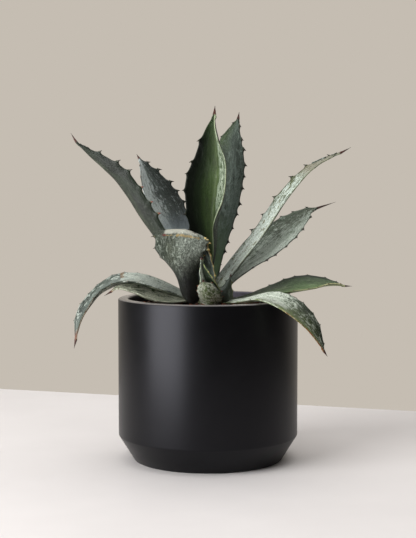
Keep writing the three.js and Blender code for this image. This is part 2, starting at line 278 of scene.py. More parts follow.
# %% Model the pot
pot_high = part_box("pot")[1]
POT_RADIUS = pot_high.x
POT_HEIGHT = pot_high.z
POT_SIDES = 160
FOOT_RADIUS = 0.095
CHAMFER_HEIGHT = 0.032
WALL = 0.013
FLOOR_THICKNESS = 0.014
RIM_ROUNDING = 0.0025
CHAMFER_ROUNDING = 0.0012
FOOT_ROUNDING = 0.001
HEIGHT_TOLERANCE = 0.0004
SMOOTH_BELOW = math.radians(28)  # edges that turn more than this stay sharp

deselect_all()
bpy.ops.mesh.primitive_cylinder_add(
    vertices=POT_SIDES, radius=POT_RADIUS, depth=POT_HEIGHT, location=(0, 0, POT_HEIGHT / 2)
)
pot = bpy.context.object
pot.name = "planter"
bpy.ops.object.transform_apply(location=True)


def near_height(height):
    return lambda place: abs(place.z - height) < HEIGHT_TOLERANCE


def shrink(share):
    bpy.ops.transform.resize(value=(share, share, 1), center_override=(0, 0, 0))


def extrude(rise):
    bpy.ops.mesh.extrude_region_move(TRANSFORM_OT_translate={"value": (0, 0, rise)})


bpy.ops.object.mode_set(mode="EDIT")
bpy.ops.mesh.select_all(action="SELECT")
bpy.ops.mesh.bisect(plane_co=(0, 0, CHAMFER_HEIGHT), plane_no=(0, 0, 1))
pick_vertices(pot, near_height(0))
shrink(FOOT_RADIUS / POT_RADIUS)

inner_radius = POT_RADIUS - WALL
inner_bend = CHAMFER_HEIGHT + 0.004
pick_vertices(pot, near_height(POT_HEIGHT))
extrude(0)
shrink(inner_radius / POT_RADIUS)
extrude(inner_bend - POT_HEIGHT)
extrude(FLOOR_THICKNESS - inner_bend)
shrink((FOOT_RADIUS - WALL) / inner_radius)
print("pot shell:", len(pot.data.vertices), "vertices")


# %% Soften its edges
def bevel_ring(piece, height, radius, offset, segments):
    """Rounds the edge that runs round the piece at that height and radius."""
    pick_vertices(
        piece,
        lambda place: abs(place.z - height) < HEIGHT_TOLERANCE
        and abs(math.hypot(place.x, place.y) - radius) < HEIGHT_TOLERANCE,
    )
    bpy.ops.mesh.select_mode(use_extend=False, use_expand=False, type="EDGE")
    bpy.ops.mesh.bevel(offset=offset, segments=segments, profile=0.5, affect="EDGES")


bevel_ring(pot, POT_HEIGHT, POT_RADIUS, RIM_ROUNDING, 5)
bevel_ring(pot, POT_HEIGHT, inner_radius, RIM_ROUNDING, 5)
bevel_ring(pot, CHAMFER_HEIGHT, POT_RADIUS, CHAMFER_ROUNDING, 3)
bevel_ring(pot, 0, FOOT_RADIUS, FOOT_ROUNDING, 2)
bpy.ops.mesh.select_all(action="SELECT")
bpy.ops.mesh.normals_make_consistent(inside=False)
bpy.ops.object.mode_set(mode="OBJECT")
bpy.ops.object.shade_smooth_by_angle(angle=SMOOTH_BELOW)
print("bevelled pot:", len(pot.data.polygons), "faces")


# %% [markdown]
# The finish is a satin black glaze. Satin means a broad, soft highlight: a fairly rough
# surface, with the faintest unevenness in the roughness and a very fine orange-peel bump, so
# that the long highlight isn't as even as on plastic. The flat of the rim is glossier, and it
# is painted a paler grey, a painted highlight for the light it catches. The inner wall is
# painted paler where it shows above the mulch at the right, a painted highlight where the
# light falls on it. Both are painted by place, because they are the same glaze and have no
# edge of their own.

# %% Satin black
def satin_black():
    finish = Finish("satin_black")
    place = finish.object_place()
    cloud = finish.noise(place, 14.0, detail=4.0)
    colour = finish.ramp(cloud, [(0.3, paint(6, 6, 7)), (0.7, paint(10, 10, 11))])
    sideways, _, height = finish.split(place)
    on_rim = finish.fade(height, POT_HEIGHT - 0.0015, POT_HEIGHT - 0.0002)
    roughness = finish.minus(finish.fade(cloud, 0.3, 0.7, 0.34, 0.38), finish.times(on_rim, 0.2))
    # The inner wall above the mulch at the right is painted paler: a painted highlight where the
    # key light falls on it.
    off_axis = finish.add("VectorMath", operation="LENGTH")
    finish.feed(off_axis.inputs[0], finish.stretch(place, (1, 1, 0)))
    inside = finish.fade(off_axis.outputs["Value"], inner_radius + 0.004, inner_radius + 0.001)
    inside = finish.times(inside, finish.fade(height, 0.16, 0.18))
    inside = finish.times(inside, finish.fade(sideways, -0.02, 0.03))
    # The paler grey on the flat of the rim is a painted highlight; its lower roughness is real
    # gloss.
    colour = finish.coat(colour, paint(114, 110, 108), on_rim)
    colour = finish.coat(colour, paint(130, 126, 140), inside)
    grain = finish.noise(place, 900.0, detail=2.0)
    finish.shader.inputs["Specular Tint"].default_value = (0.9, 0.9, 1.0, 1.0)
    return finish.done(colour, roughness, finish.bump(grain, 0.00004, 0.5), specular=0.22)


pot.data.materials.append(satin_black())
hand_over(pot, "pot", "pot")


# %% [markdown]
# ## Soil and crown
#
# Both solids already have the right shape and are nearly hidden, so they stay and only get
# finishes: dark moist crumbs for the soil, and pale fibres for the crown, the short stem
# that all the leaves grow from.

# %% Finish the soil and the crown
def moist_soil():
    finish = Finish("moist_soil")
    place = finish.object_place()
    crumbs = finish.noise(place, 260.0, detail=5.0, roughness=0.7)
    colour = finish.ramp(crumbs, [(0.3, paint(24, 18, 14)), (0.7, paint(62, 48, 38))])
    return finish.done(colour, 0.95, finish.bump(crumbs, 0.002), specular=0.2)


def crown_fibre():
    finish = Finish("crown_fibre")
    fibres = finish.noise(finish.stretch(finish.object_place(), (420, 420, 40)), 1.0, detail=4.0)
    colour = finish.ramp(fibres, [(0.3, paint(96, 98, 72)), (0.7, paint(168, 170, 134))])
    return finish.done(colour, 0.75, finish.bump(fibres, 0.0006), specular=0.3)


for node_name, material in (("soil", moist_soil()), ("crown", crown_fibre())):
    node_mesh = frame["nodes"][node_name].data
    node_mesh.materials.clear()
    node_mesh.materials.append(material)
    print(node_name, "finished with", material.name)


# %% [markdown]
# ## Bark mulch
#
# The mulch is a loose layer of bark chips. One chip is modelled, a block that is subdivided
# and pushed out of true, and then copied about six hundred times over the domed soil, every
# copy turned, tilted and sized by a seeded draw. The copies are joined into one piece, so
# each chip carries its own tone as an attribute of its points, from dry grey-brown to a
# fresh reddish orange.

# %% Model one chip
chip_random = random.Random(3)
deselect_all()
bpy.ops.mesh.primitive_cube_add(size=1)
chip = bpy.context.object
chip.name = "bark_chip"
bpy.ops.object.mode_set(mode="EDIT")
bpy.ops.mesh.subdivide(number_cuts=1)
bpy.ops.transform.vertex_random(offset=0.12, uniform=1.0, normal=0.0, seed=4, wait_for_input=False)
pick_vertices(chip, lambda place: place.x > 0.35)
bpy.ops.transform.resize(value=(1, 0.55, 0.6))
pick_vertices(chip, lambda place: place.x < -0.35)
bpy.ops.transform.resize(value=(1, 0.7, 0.75))
bpy.ops.object.mode_set(mode="OBJECT")
print("one chip:", len(chip.data.polygons), "faces")

# %% Scatter the chips
MULCH_RADIUS = inner_radius - 0.006
SOIL_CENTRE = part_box("soil")[1].z
SOIL_WALL = SOIL_CENTRE - 0.008
CHIP_COUNT = 620
CHIP_LENGTH = (0.007, 0.017)
CHIP_PROPORTION = (0.35, 0.65)
CHIP_THICKNESS = (0.002, 0.0045)
CHIP_LIFT = (0.0012, 0.0046)
CHIP_OVERHANG = 0.004  # how far the end of a chip may lie past the bed's own radius
GOLDEN_ANGLE = math.pi * (3 - math.sqrt(5))


def soil_height(radius):
    share = radius / inner_radius
    return SOIL_WALL + (SOIL_CENTRE - SOIL_WALL) * (1 - share**2)


def scatter_chip(index):
    """One chip of the pile, with its own mesh, lying on the dome."""
    radius = MULCH_RADIUS * math.sqrt(chip_random.uniform(0.02, 1.0))
    angle = index * GOLDEN_ANGLE
    length = chip_random.uniform(*CHIP_LENGTH)
    width = length * chip_random.uniform(*CHIP_PROPORTION)
    size = (length, width, chip_random.uniform(*CHIP_THICKNESS))
    height = soil_height(radius) + chip_random.uniform(*CHIP_LIFT)
    turn = Matrix.Rotation(chip_random.uniform(0, math.tau), 4, "Z")
    tilt = Matrix.Rotation(chip_random.gauss(0, 0.26), 4, "X")
    tilt = tilt @ Matrix.Rotation(chip_random.gauss(0, 0.2), 4, "Y")
    radius = min(radius, MULCH_RADIUS + CHIP_OVERHANG - length / 2)
    place = Matrix.Translation((radius * math.cos(angle), radius * math.sin(angle), height))
    mesh = chip.data.copy()
    mesh.transform(place @ turn @ tilt @ Matrix.Diagonal((*size, 1)))
    tone = mesh.attributes.new("tone", "FLOAT", "POINT")
    tone.data.foreach_set("value", [chip_random.random()] * len(mesh.vertices))
    copy = bpy.data.objects.new("chip", mesh)
    bpy.context.scene.collection.objects.link(copy)
    return copy


chips = [scatter_chip(i) for i in range(CHIP_COUNT)]
deselect_all()
for piece in chips:
    piece.select_set(True)
bpy.context.view_layer.objects.active = chips[0]
bpy.ops.object.join()
mulch = bpy.context.object
mulch.name = "loose_bark"
bpy.data.objects.remove(chip)
print("chips:", CHIP_COUNT)


# %% Bark finish
def bark():
    finish = Finish("bark")
    tone = finish.add("Attribute", attribute_name="tone").outputs["Fac"]
    place = finish.object_place()
    grain = finish.noise(finish.stretch(place, (500, 240, 700)), 1.0, detail=4.0, roughness=0.65)
    colour = finish.ramp(
        tone,
        [
            (0.0, paint(34, 25, 21)),
            (0.4, paint(82, 54, 41)),
            (0.8, paint(132, 78, 54)),
            (1.0, paint(190, 104, 62)),
        ],
    )
    shade = finish.ramp(grain, [(0.25, paint(110, 100, 95)), (0.7, paint(255, 250, 245))])
    colour = finish.coat(colour, shade, 0.85, blend="MULTIPLY")
    return finish.done(colour, 0.85, finish.bump(grain, 0.0008), specular=0.25)


mulch.data.materials.clear()
mulch.data.materials.append(bark())
hand_over(mulch, "bark_mulch", "bark_mulch")


# %% [markdown]
# ## The leaves
#
# A leaf is a fleshy blade that follows a curved midrib. Its outline swells and then runs to a
# point, its cross-section is a shallow gutter, and it is thick at the base and thin at the
# margins. All leaves share one recipe, so each is written down as a few measured values: the
# points of its midrib from the crown to the end of its spine; the side it grows towards
# (degrees round the crown); its greatest width, its share at the base and where it lies; how
# bluntly it ends; how thick it is, and how long its spine; and, evenly spread from base to
# tip in degrees, the slope of the blade beside the midrib (fold), at the margin (cup), and
# its turn about the midrib (roll). The teeth stand between two shares of the length, with a
# gap from one to the next.

# %% Measured values of every leaf, in millimetres
MM = 0.001
LEAVES = {
    "leaf_front_small": dict(
        azimuth=-85, width=31, base=0.85, widest=0.45, point=4, thick=7, spine=4, gap=12,
        midrib=[(0.5, -18, 199), (3, -37, 204.5), (1.5, -50, 213), (-2, -59, 224),
                (-6.5, -65, 236)],
        fold=[6, 6], cup=[24, 16], roll=[-16, -10], teeth=(0.45, 0.9)),
    "leaf_front_right": dict(
        azimuth=-40, width=23, base=0.95, widest=0.3, point=1.5, thick=6, spine=4, gap=12,
        midrib=[(13, -16, 196), (21, -26, 207), (24, -30, 220), (29, -31, 240)],
        fold=[5, 5], cup=[30, 20], roll=[-25, -40], teeth=(0.4, 0.9)),
    "leaf_front_tip": dict(
        azimuth=105, width=26, base=0.8, widest=0.42, point=1.2, thick=4.6, spine=4, gap=10,
        midrib=[(2, -14, 202), (4, -36, 213), (-1, -56, 231), (-6, -64, 246), (-8, -70, 263)],
        fold=[10, 10], cup=[42, 36], roll=[8], teeth=(0.4, 0.9)),
    "leaf_front_folded": dict(
        azimuth=-95, width=68, base=0.36, widest=0.56, point=1.6, thick=7, spine=5, gap=14,
        midrib=[(-17, -17, 199), (-23.5, -31, 209), (-27, -43, 228), (-32.5, -55, 249),
                (-34.5, -61, 269), (-33, -58, 285), (-31, -49, 291), (-26, -40, 286),
                (-14, -34, 268), (-3.5, -31, 252), (4.5, -29, 238), (9.5, -28, 223.5)],
        fold=[26, 30, 3, 3, 6], cup=[50, 60, 8, 10, 22], roll=[0, 0, 6, 4, 0], teeth=(0.2, 0.94)),
    "leaf_centre_tall": dict(
        azimuth=95, width=83, base=0.24, widest=0.56, point=1.7, thick=6, spine=11, gap=23,
        midrib=[(-3, 10, 212), (6, 14, 262), (7.2, 16, 316), (10, 18, 350), (12.2, 19, 380),
                (9.5, 20, 408), (7.8, 21, 430), (9, 22, 453)],
        fold=[35, 35, 24, 38], cup=[66, 66, 58, 74], roll=[-44, -44, -47, -35, -38, -43, -45],
        teeth=(0.3, 0.9)),
    "leaf_right_tall": dict(
        azimuth=65, width=54, base=0.4, widest=0.66, point=2, thick=7, spine=9,
        midrib=[(0, 14, 208), (7, 30, 250), (21.2, 42, 316), (28.8, 48, 372), (32.2, 49, 408),
                (37.5, 50, 432), (41, 52, 447)],
        fold=[8, 8, 8], cup=[35, 30, 30], roll=[0], teeth=(0.2, 0.95)),
    "leaf_left_mid": dict(
        azimuth=130, width=66, base=0.4, widest=0.62, point=1.8, thick=7, spine=7,
        midrib=[(-14, 10, 208), (-27, 22, 253), (-50, 36, 312), (-68, 44, 346), (-87, 50, 382),
                (-94, 53, 392)],
        fold=[3, 2, 3], cup=[30, 10, 16], roll=[0, 6, 2], teeth=(0.25, 0.95)),
    "leaf_left_long": dict(
        azimuth=190, width=42, base=0.66, widest=0.66, point=1.6, thick=8, spine=12.5, gap=21,
        midrib=[(-18, -3, 206), (-42, -8, 253), (-71, -12, 299), (-109.5, -18, 356),
                (-128, -21, 373.5), (-149, -24, 391), (-162.5, -29, 403), (-171, -30, 415)],
        fold=[24, 18, 24], cup=[45, 44, 44], roll=[4, 10, 14], teeth=(0.25, 0.84)),
    "leaf_right_long": dict(
        azimuth=12, width=28, base=0.85, widest=0.5, point=2, thick=6, spine=16, gap=28,
        midrib=[(4, 2, 208), (28, 6, 240.5), (65, 14, 287.5), (98.5, 19, 337), (133, 25, 373.5),
                (185.5, 30, 400)],
        fold=[5, 4, 5], cup=[22, 16, 14], roll=[24, 18, 24], teeth=(0.3, 0.93)),
    "leaf_right_mid": dict(
        azimuth=25, width=58, base=0.55, widest=0.58, point=1.7, thick=7, spine=27,
        midrib=[(8, 10, 207), (33, 22, 234), (78, 42, 269), (116, 56, 303), (134, 66, 317),
                (171, 76, 329)],
        fold=[5, 5, 5], cup=[26, 12, 8], roll=[10, 20, 18], teeth=(0.25, 0.95)),
    "leaf_back_tall": dict(
        azimuth=85, width=52, base=0.6, widest=0.5, point=1.8, thick=7, spine=14,
        midrib=[(-3, 20, 208), (-1, 44, 240), (2, 70, 290), (2, 96, 335), (0, 128, 368),
                (-2, 150, 380)],
        fold=[8, 8, 8], cup=[36, 34, 34], roll=[0], teeth=(0.2, 0.93)),
    "leaf_back_left": dict(
        azimuth=140, width=48, base=0.6, widest=0.5, point=1.8, thick=7, spine=14,
        midrib=[(-14, 18, 206), (-34, 42, 238), (-58, 70, 284), (-78, 94, 322), (-96, 116, 344)],
        fold=[8, 8, 8], cup=[36, 34, 34], roll=[0], teeth=(0.2, 0.93)),
    "leaf_right_low_back": dict(
        azimuth=20, width=44, base=0.4, widest=0.6, point=2.1, thick=6, spine=10,
        midrib=[(18, 10, 201), (49, 22, 202), (83, 34, 209.8), (118, 45, 217.2), (152, 54, 220.6),
                (192, 60, 217)],
        fold=[8, 6, 8, 14], cup=[24, 20, 22, 42], roll=[6, 10, 20, 0], teeth=(0.35, 0.96)),
    "leaf_right_low_front": dict(
        azimuth=-48, width=40, base=0.25, widest=0.66, point=2.2, thick=6, spine=8,
        midrib=[(13, -16, 202), (40, -46, 206.5), (74, -86, 212.8), (98, -100, 202.8),
                (121, -106, 182), (135, -107, 160), (143, -106, 145)],
        fold=[4, 8, 10], cup=[14, 20, 24], roll=[14, 14, 6], teeth=(0.35, 0.96)),
    "leaf_left_low_long": dict(
        azimuth=187, width=36, base=0.6, widest=0.3, point=3.4, thick=6, spine=11,
        midrib=[(-20, -5, 206), (-60, -14, 221.5), (-90, -20, 230), (-114, -22.5, 229.5),
                (-134, -24, 219.5), (-150, -25.5, 202), (-160, -27, 186), (-165.5, -29, 168),
                (-169, -30, 145)],
        fold=[8, 10, 12], cup=[18, 20, 22], roll=[-14, -17, -15, -10, -26, -30], teeth=(0.3, 0.9)),
    "leaf_left_low_short": dict(
        azimuth=203, width=48, base=0.45, widest=0.45, point=1.6, thick=5, spine=10,
        midrib=[(-19, -10, 205), (-50, -24, 207.5), (-77, -34, 214.5), (-94, -40, 220),
                (-114, -44, 222), (-129, -47, 213)],
        fold=[5, 5, 8], cup=[16, 16, 22], roll=[-14, -24, -12], teeth=(0.4, 0.94)),
    "leaf_back_low": dict(
        azimuth=88, width=40, base=0.7, widest=0.5, point=1.9, thick=6, spine=10,
        midrib=[(-3, 24, 205), (-2, 58, 219), (0, 96, 226), (2, 132, 216), (3, 158, 186),
                (3, 168, 156)],
        fold=[8, 10, 12], cup=[30, 30, 34], roll=[0], teeth=(0.3, 0.93)),
}
print(len(LEAVES), "leaves")


# %% [markdown]
# ### The midrib
#
# The midrib runs smoothly through its points. A Catmull-Rom curve does that with no handles
# to set, and in its centripetal form it never loops where points are close. The curve is
# measured, so that equal shares of the leaf are equal lengths, and a frame travels along it:
# the direction of growth, the side, and the way the upper face looks. The side starts level
# and turns no more than it has to.

# %% Follow the midrib
CURVE_STEPS = 200
FRAME_STEPS = 120


def curve_point(points, share):
    """The place on the curve through the points, at a share of its steps."""
    spans = len(points) - 1
    i = min(int(share * spans), spans - 1)
    t = share * spans - i
    before = points[i - 1] if i > 0 else 2 * points[0] - points[1]
    start, end = points[i], points[i + 1]
    after = points[i + 2] if i + 2 <= spans else 2 * points[-1] - points[-2]
    d0 = max((start - before).length, 1e-9) ** 0.5
    d1 = max((end - start).length, 1e-9) ** 0.5
    d2 = max((after - end).length, 1e-9) ** 0.5
    leave = ((start - before) / d0 - (end - before) / (d0 + d1) + (end - start) / d1) * d1
    arrive = ((end - start) / d1 - (after - start) / (d1 + d2) + (after - end) / d2) * d1
    bend = 3 * (end - start) - 2 * leave - arrive
    twist = 2 * (start - end) + leave + arrive
    return start + leave * t + bend * t**2 + twist * t**3


class Midrib:
    """A leaf's midrib, by shares of its length, with its travelling frame."""

    def __init__(self, leaf):
        self.points = [Vector([value * MM for value in point]) for point in leaf["midrib"]]
        self.steps = [i / CURVE_STEPS for i in range(CURVE_STEPS + 1)]
        places = [curve_point(self.points, s) for s in self.steps]
        self.lengths = [0.0]
        for a, b in zip(places, places[1:]):
            self.lengths.append(self.lengths[-1] + (b - a).length)
        self.length = self.lengths[-1]
        self.sides = self.level_sides(math.radians(leaf["azimuth"]))

    def place(self, u):
        step = np.interp(u * self.length, self.lengths, self.steps)
        return curve_point(self.points, float(step))

    def tangent(self, u):
        near = 1e-4
        return (self.place(min(u + near, 1)) - self.place(max(u - near, 0))).normalized()

    def level_sides(self, azimuth):
        side = Vector((-math.sin(azimuth), math.cos(azimuth), 0))
        sides = []
        for i in range(FRAME_STEPS + 1):
            tangent = self.tangent(i / FRAME_STEPS)
            side = (side - tangent * side.dot(tangent)).normalized()
            sides.append(side)
        return sides

    def frame(self, u, roll):
        """Place, direction of growth, side, and the way the upper face looks."""
        tangent = self.tangent(u)
        at = u * FRAME_STEPS
        i = min(int(at), FRAME_STEPS - 1)
        side = self.sides[i].lerp(self.sides[i + 1], at - i)
        side = (side - tangent * side.dot(tangent)).normalized()
        side = Matrix.Rotation(math.radians(roll), 3, tangent) @ side
        return self.place(u), tangent, side, tangent.cross(side)


print("the longest leaf:", round(max(Midrib(leaf).length for leaf in LEAVES.values()), 3))


# %% [markdown]
# ### The blade's shape
#
# Across the blade, the slope turns steadily from the fold beside the midrib to the cup at the
# margin, so the section is an arc. Between two teeth the margin draws in a little, and under
# each tooth it swells into a small green bump, which makes the waved edge of an agave. The
# teeth aren't equally strong, so most leaves have a size of their own for the teeth of the
# left margin and for those of the right.

# %% Strength of the teeth
USUAL_STRENGTH = (0.9, 0.9)
TOOTH_SIZES = {
    "leaf_front_small": (0.7, 0.7),
    "leaf_front_right": (0.6, 0.7),
    "leaf_front_tip": (0.5, 0.4),
    "leaf_front_folded": (0.9, 1.0),
    "leaf_centre_tall": (0.3, 0.9),
    "leaf_right_tall": (1.35, 0.5),
    "leaf_left_mid": (1.25, 0.6),
    "leaf_left_long": (0.6, 1.1),
    "leaf_right_long": (0.4, 1.1),
    "leaf_right_mid": (1.2, 0.8),
    "leaf_right_low_back": (0.5, 0.45),
    "leaf_right_low_front": (0.5, 0.45),
    "leaf_left_low_long": (0.4, 0.4),
    "leaf_left_low_short": (0.3, 0.35),
}


print(len(TOOTH_SIZES), "leaves with teeth sized by hand")


# %% Two ways to go from one value to the next
def ease(share):
    share = min(max(share, 0.0), 1.0)
    return share * share * (3 - 2 * share)


def along(values, u):
    """The value at share u of a list spread evenly from base to tip."""
    if len(values) == 1:
        return values[0]
    at = u * (len(values) - 1)
    i = min(int(at), len(values) - 2)
    weight = ease(at - i)
    return values[i] * (1 - weight) + values[i + 1] * weight


print("halfway from 10 to 20:", along([10, 20], 0.5))

# %% Outline, section and teeth
SPINE_RADIUS = 0.0012
SPINE_THICKNESS = 1.9  # times half its width, so the spine is nearly round
STRAIGHT_SHARE = 0.04  # of the outline's fall, so that the end stays slim
MARGIN_THICKNESS = 0.0012
SCALLOP = 0.0013
TOOTH_LENGTH = 0.0036
TOOTH_SPACING = 17  # millimetres, as in the leaves' own values
TOOTH_BUMP = 0.0032


class Blade:
    """The shape of one leaf: where its surface is, how thick, and where its teeth stand."""

    def __init__(self, name):
        leaf = LEAVES[name]
        self.leaf = leaf
        self.midrib = Midrib(leaf)
        self.length = self.midrib.length
        self.width = leaf["width"] * MM
        self.end = 1 - leaf["spine"] * MM / self.length
        left, right = TOOTH_SIZES.get(name, USUAL_STRENGTH)
        self.teeth = {-1: self.tooth_places(-1, left), 1: self.tooth_places(1, right)}

    def tooth_places(self, sign, strength):
        """Share along the leaf and size of each tooth on one margin."""
        spacing = self.leaf.get("gap", TOOTH_SPACING) * MM
        stretches = max(4, round(self.length * self.end / spacing))
        first, last = self.leaf["teeth"]
        places = []
        for i in range(stretches):
            wander = math.sin(2.3 * i + sign + self.leaf["azimuth"])
            middle = (i + 0.5 + 0.12 * wander) / stretches * self.end
            if first <= middle <= last:
                places.append((middle, strength * (0.85 + 0.3 * wander**2)))
        return places

    def half_width(self, u):
        leaf = self.leaf
        if u > self.end:
            return max(SPINE_RADIUS * (1 - u) / (1 - self.end), 0.00012)
        if u < leaf["widest"]:
            share = leaf["base"] + (1 - leaf["base"]) * ease(u / leaf["widest"])
        else:
            fall = (u - leaf["widest"]) / (self.end - leaf["widest"])
            curved = (1 - STRAIGHT_SHARE) * (1 - fall ** leaf["point"])
            share = curved + STRAIGHT_SHARE * (1 - fall)
        return max(self.width / 2 * share, SPINE_RADIUS)

    def margin_wave(self, u, sign):
        """How far the margin stands out at u: drawn in, but swelling under each tooth."""
        first, _ = self.leaf["teeth"]
        strength = max([size for _, size in self.teeth[sign]], default=1.0)
        drawn_in = SCALLOP * strength * ease((u - first) / 0.05) * ease((self.end - u) / 0.04)
        swell = 0.0
        for middle, size in self.teeth[sign]:
            reach = (u - middle) * self.length / TOOTH_BUMP
            swell = max(swell, math.exp(-(reach**2)) * size / strength)
        return drawn_in * (swell * 1.9 - 1)

    def thickness(self, u, q):
        half = self.half_width(u)
        if u > self.end:
            return max(SPINE_THICKNESS * half, 0.0003)
        edge = MARGIN_THICKNESS * min(1, 8 * (1 - u) + 0.4)
        fullness = min(max(2 * half / self.width, 0.1), 1)
        flesh = self.leaf["thick"] * MM * (0.35 + 0.65 * (1 - u)) * fullness
        blend = ease((self.end - u) / 0.03)
        full = edge + flesh * (1 - min(abs(q), 1) ** 1.6)
        return full * blend + SPINE_THICKNESS * half * (1 - blend)

    def section(self, u, q, stand_out=0.0):
        """Across, up and slope of the section at q, which runs from -1 to 1 over the blade."""
        fold = math.radians(along(self.leaf["fold"], u))
        cup = math.radians(along(self.leaf["cup"], u))
        bend = cup - fold if abs(cup - fold) > 0.01 else 0.01
        half = self.half_width(u)
        slope = fold + bend * abs(q)
        out = stand_out * ease((abs(q) - 0.7) / 0.3)
        across = half * (math.sin(slope) - math.sin(fold)) / bend + out * math.cos(slope)
        up = half * (math.cos(fold) - math.cos(slope)) / bend + out * math.sin(slope)
        return across, up, slope

    def frame(self, u):
        return self.midrib.frame(u, along(self.leaf["roll"], u))


print("teeth on the left long leaf:", len(Blade("leaf_left_long").teeth[1]), "a side")


# %% [markdown]
# ### Relief
#
# A living blade is never quite smooth. Long, low ridges run with the veins, and the whole
# face is gently uneven where it pressed on its neighbours in the bud. The folded old leaf is
# slack and wrinkled where it buckled, and so is the short low one towards its tip. Noise that
# is stretched along the blade gives the ridges, and a second, rounder noise the wrinkles.
# Both are real relief in the mesh, because a bump alone would leave the outline smooth.

# %% Uneven surface
RIDGE_HEIGHT = 0.00035
DENT_DEPTH = 0.0011
# Start and end of the wrinkles as shares of the leaf, and their depth.
WRINKLES = {"leaf_front_folded": (0.18, 0.56, 0.0024), "leaf_left_low_short": (0.35, 1.0, 0.0007)}


def relief(name, blade, u, q):
    """Height of the unevenness at u and q, nought at the margins and the ends."""
    across = q * blade.half_width(u)
    down = u * blade.length
    seed = (sum(map(ord, name)) % 97) * 1.7
    hold = ease((1 - abs(q)) / 0.25) * ease((blade.end - u) / 0.1)
    ridges = noise.noise(Vector((across * 420, down * 16, seed)))
    dents = noise.noise(Vector((across * 60, down * 34, seed + 9)))
    height = RIDGE_HEIGHT * ridges + DENT_DEPTH * dents
    if name in WRINKLES:
        start, end, depth = WRINKLES[name]
        slack = ease((u - start) / 0.12) * ease((end - u) / 0.05)
        folds = 0.65 - abs(noise.noise(Vector((across * 90, down * 130, seed + 3)))) * 2
        creases = noise.noise(Vector((across * 230, down * 170, seed + 5)))
        height += depth * slack * (folds + 0.4 * creases)
    return height * hold


print("relief at the middle of the folded leaf:",
      round(relief("leaf_front_folded", Blade("leaf_front_folded"), 0.7, 0.1), 5))


# %% [markdown]
# ### One thorn
#
# A margin tooth is a small flattened horn, hooked back towards the base of the leaf. It is
# modelled once, a little cone cut into rings that are drawn in and shifted one after
# the other, and copied to every tooth, so it has only a few dozen faces. Its UV map runs from
# root to tip, so that the finish can darken along it.

# %% Model the thorn
# Height of each ring, the share of its width that it keeps, and its shift along the leaf.
THORN_RINGS = ((0.15, 0.72, -0.02), (0.42, 0.7, -0.10), (0.7, 0.8, -0.22))
deselect_all()
bpy.ops.mesh.primitive_cone_add(
    vertices=7, radius1=0.6, radius2=0.03, depth=1.2, location=(0, 0, 0.4)
)
thorn = bpy.context.object
thorn.name = "thorn"
bpy.ops.object.transform_apply(location=True)
bpy.ops.object.mode_set(mode="EDIT")
for ring_height, _, _ in THORN_RINGS:
    bpy.ops.mesh.select_all(action="SELECT")
    bpy.ops.mesh.bisect(plane_co=(0, 0, ring_height), plane_no=(0, 0, 1))
for ring_height, drawn_in, shift in THORN_RINGS + ((1.0, 1.0, -0.36),):
    pick_vertices(thorn, lambda place: abs(place.z - ring_height) < 0.02)
    bpy.ops.transform.resize(value=(drawn_in, drawn_in, 1), center_override=(0, 0, ring_height))
    bpy.ops.transform.translate(value=(0, shift, 0))
bpy.ops.mesh.select_all(action="SELECT")
bpy.ops.transform.resize(value=(0.5, 1, 1), center_override=(0, 0, 0))
bpy.ops.object.mode_set(mode="OBJECT")
bpy.ops.object.shade_smooth()
thorn_map = thorn.data.uv_layers.active or thorn.data.uv_layers.new(name="UVMap")
thorn_map.name = "UVMap"
for loop in thorn.data.loops:
    height = thorn.data.vertices[loop.vertex_index].co.z
    thorn_map.data[loop.index].uv = (0.5, min(max((height + 0.2) / 1.2, 0), 1))
print("thorn:", len(thorn.data.polygons), "faces")


# %% [markdown]
# ### Growing a leaf
#
# The blade starts as a flat grid, laid along the midrib and bent to the section. The
# Solidify modifier then gives it flesh on its underside: a vertex group holds how thick the
# leaf is at each point, full along the midrib and thin at the margins. Solidify can also
# give the underside a material of its own, which a leaf needs, because its two faces differ.
# The thorns are copied to the margin and joined in, and the tip ends in the spine. Two
# grids bridged along the margin would do too, but Solidify keeps them in step at each bend.

# %% Blade
ROW_STEP = 0.0016
COLUMNS = 26
THICKEST = 0.012
RED_UNTIL = {"leaf_left_long": 0.62}  # share of the leaf where its reddish teeth end


def blade_mesh(name, blade, materials):
    """The bent and thickened blade, as a new object."""
    rows = round(blade.length / ROW_STEP)
    deselect_all()
    bpy.ops.mesh.primitive_grid_add(
        x_subdivisions=COLUMNS, y_subdivisions=rows, size=1, calc_uvs=True
    )
    piece = bpy.context.object
    piece.name = name
    for material in materials:
        piece.data.materials.append(material)
    flesh = piece.vertex_groups.new(name="flesh")
    frames = {}
    for vertex in piece.data.vertices:
        u = vertex.co.y + 0.5
        q = vertex.co.x * 2
        key = round(u * rows)
        if key not in frames:
            frames[key] = blade.frame(key / rows)
        place, _, side, up_way = frames[key]
        sign = 1 if q >= 0 else -1
        across, up, _ = blade.section(u, q, blade.margin_wave(u, sign) if abs(q) > 0.7 else 0.0)
        vertex.co = place + side * (sign * across) + up_way * (up + relief(name, blade, u, q))
        flesh.add([vertex.index], blade.thickness(u, q) / THICKEST, "REPLACE")
    bpy.ops.object.mode_set(mode="EDIT")
    bpy.ops.mesh.select_all(action="SELECT")
    bpy.ops.mesh.flip_normals()
    bpy.ops.object.mode_set(mode="OBJECT")
    shell = piece.modifiers.new("flesh", "SOLIDIFY")
    shell.thickness = THICKEST
    shell.offset = -1
    shell.vertex_group = "flesh"
    shell.material_offset = 1
    bpy.ops.object.modifier_apply(modifier="flesh")
    bpy.ops.object.shade_smooth()
    return piece


print("a blade has", COLUMNS, "columns and a row every", ROW_STEP, "m")


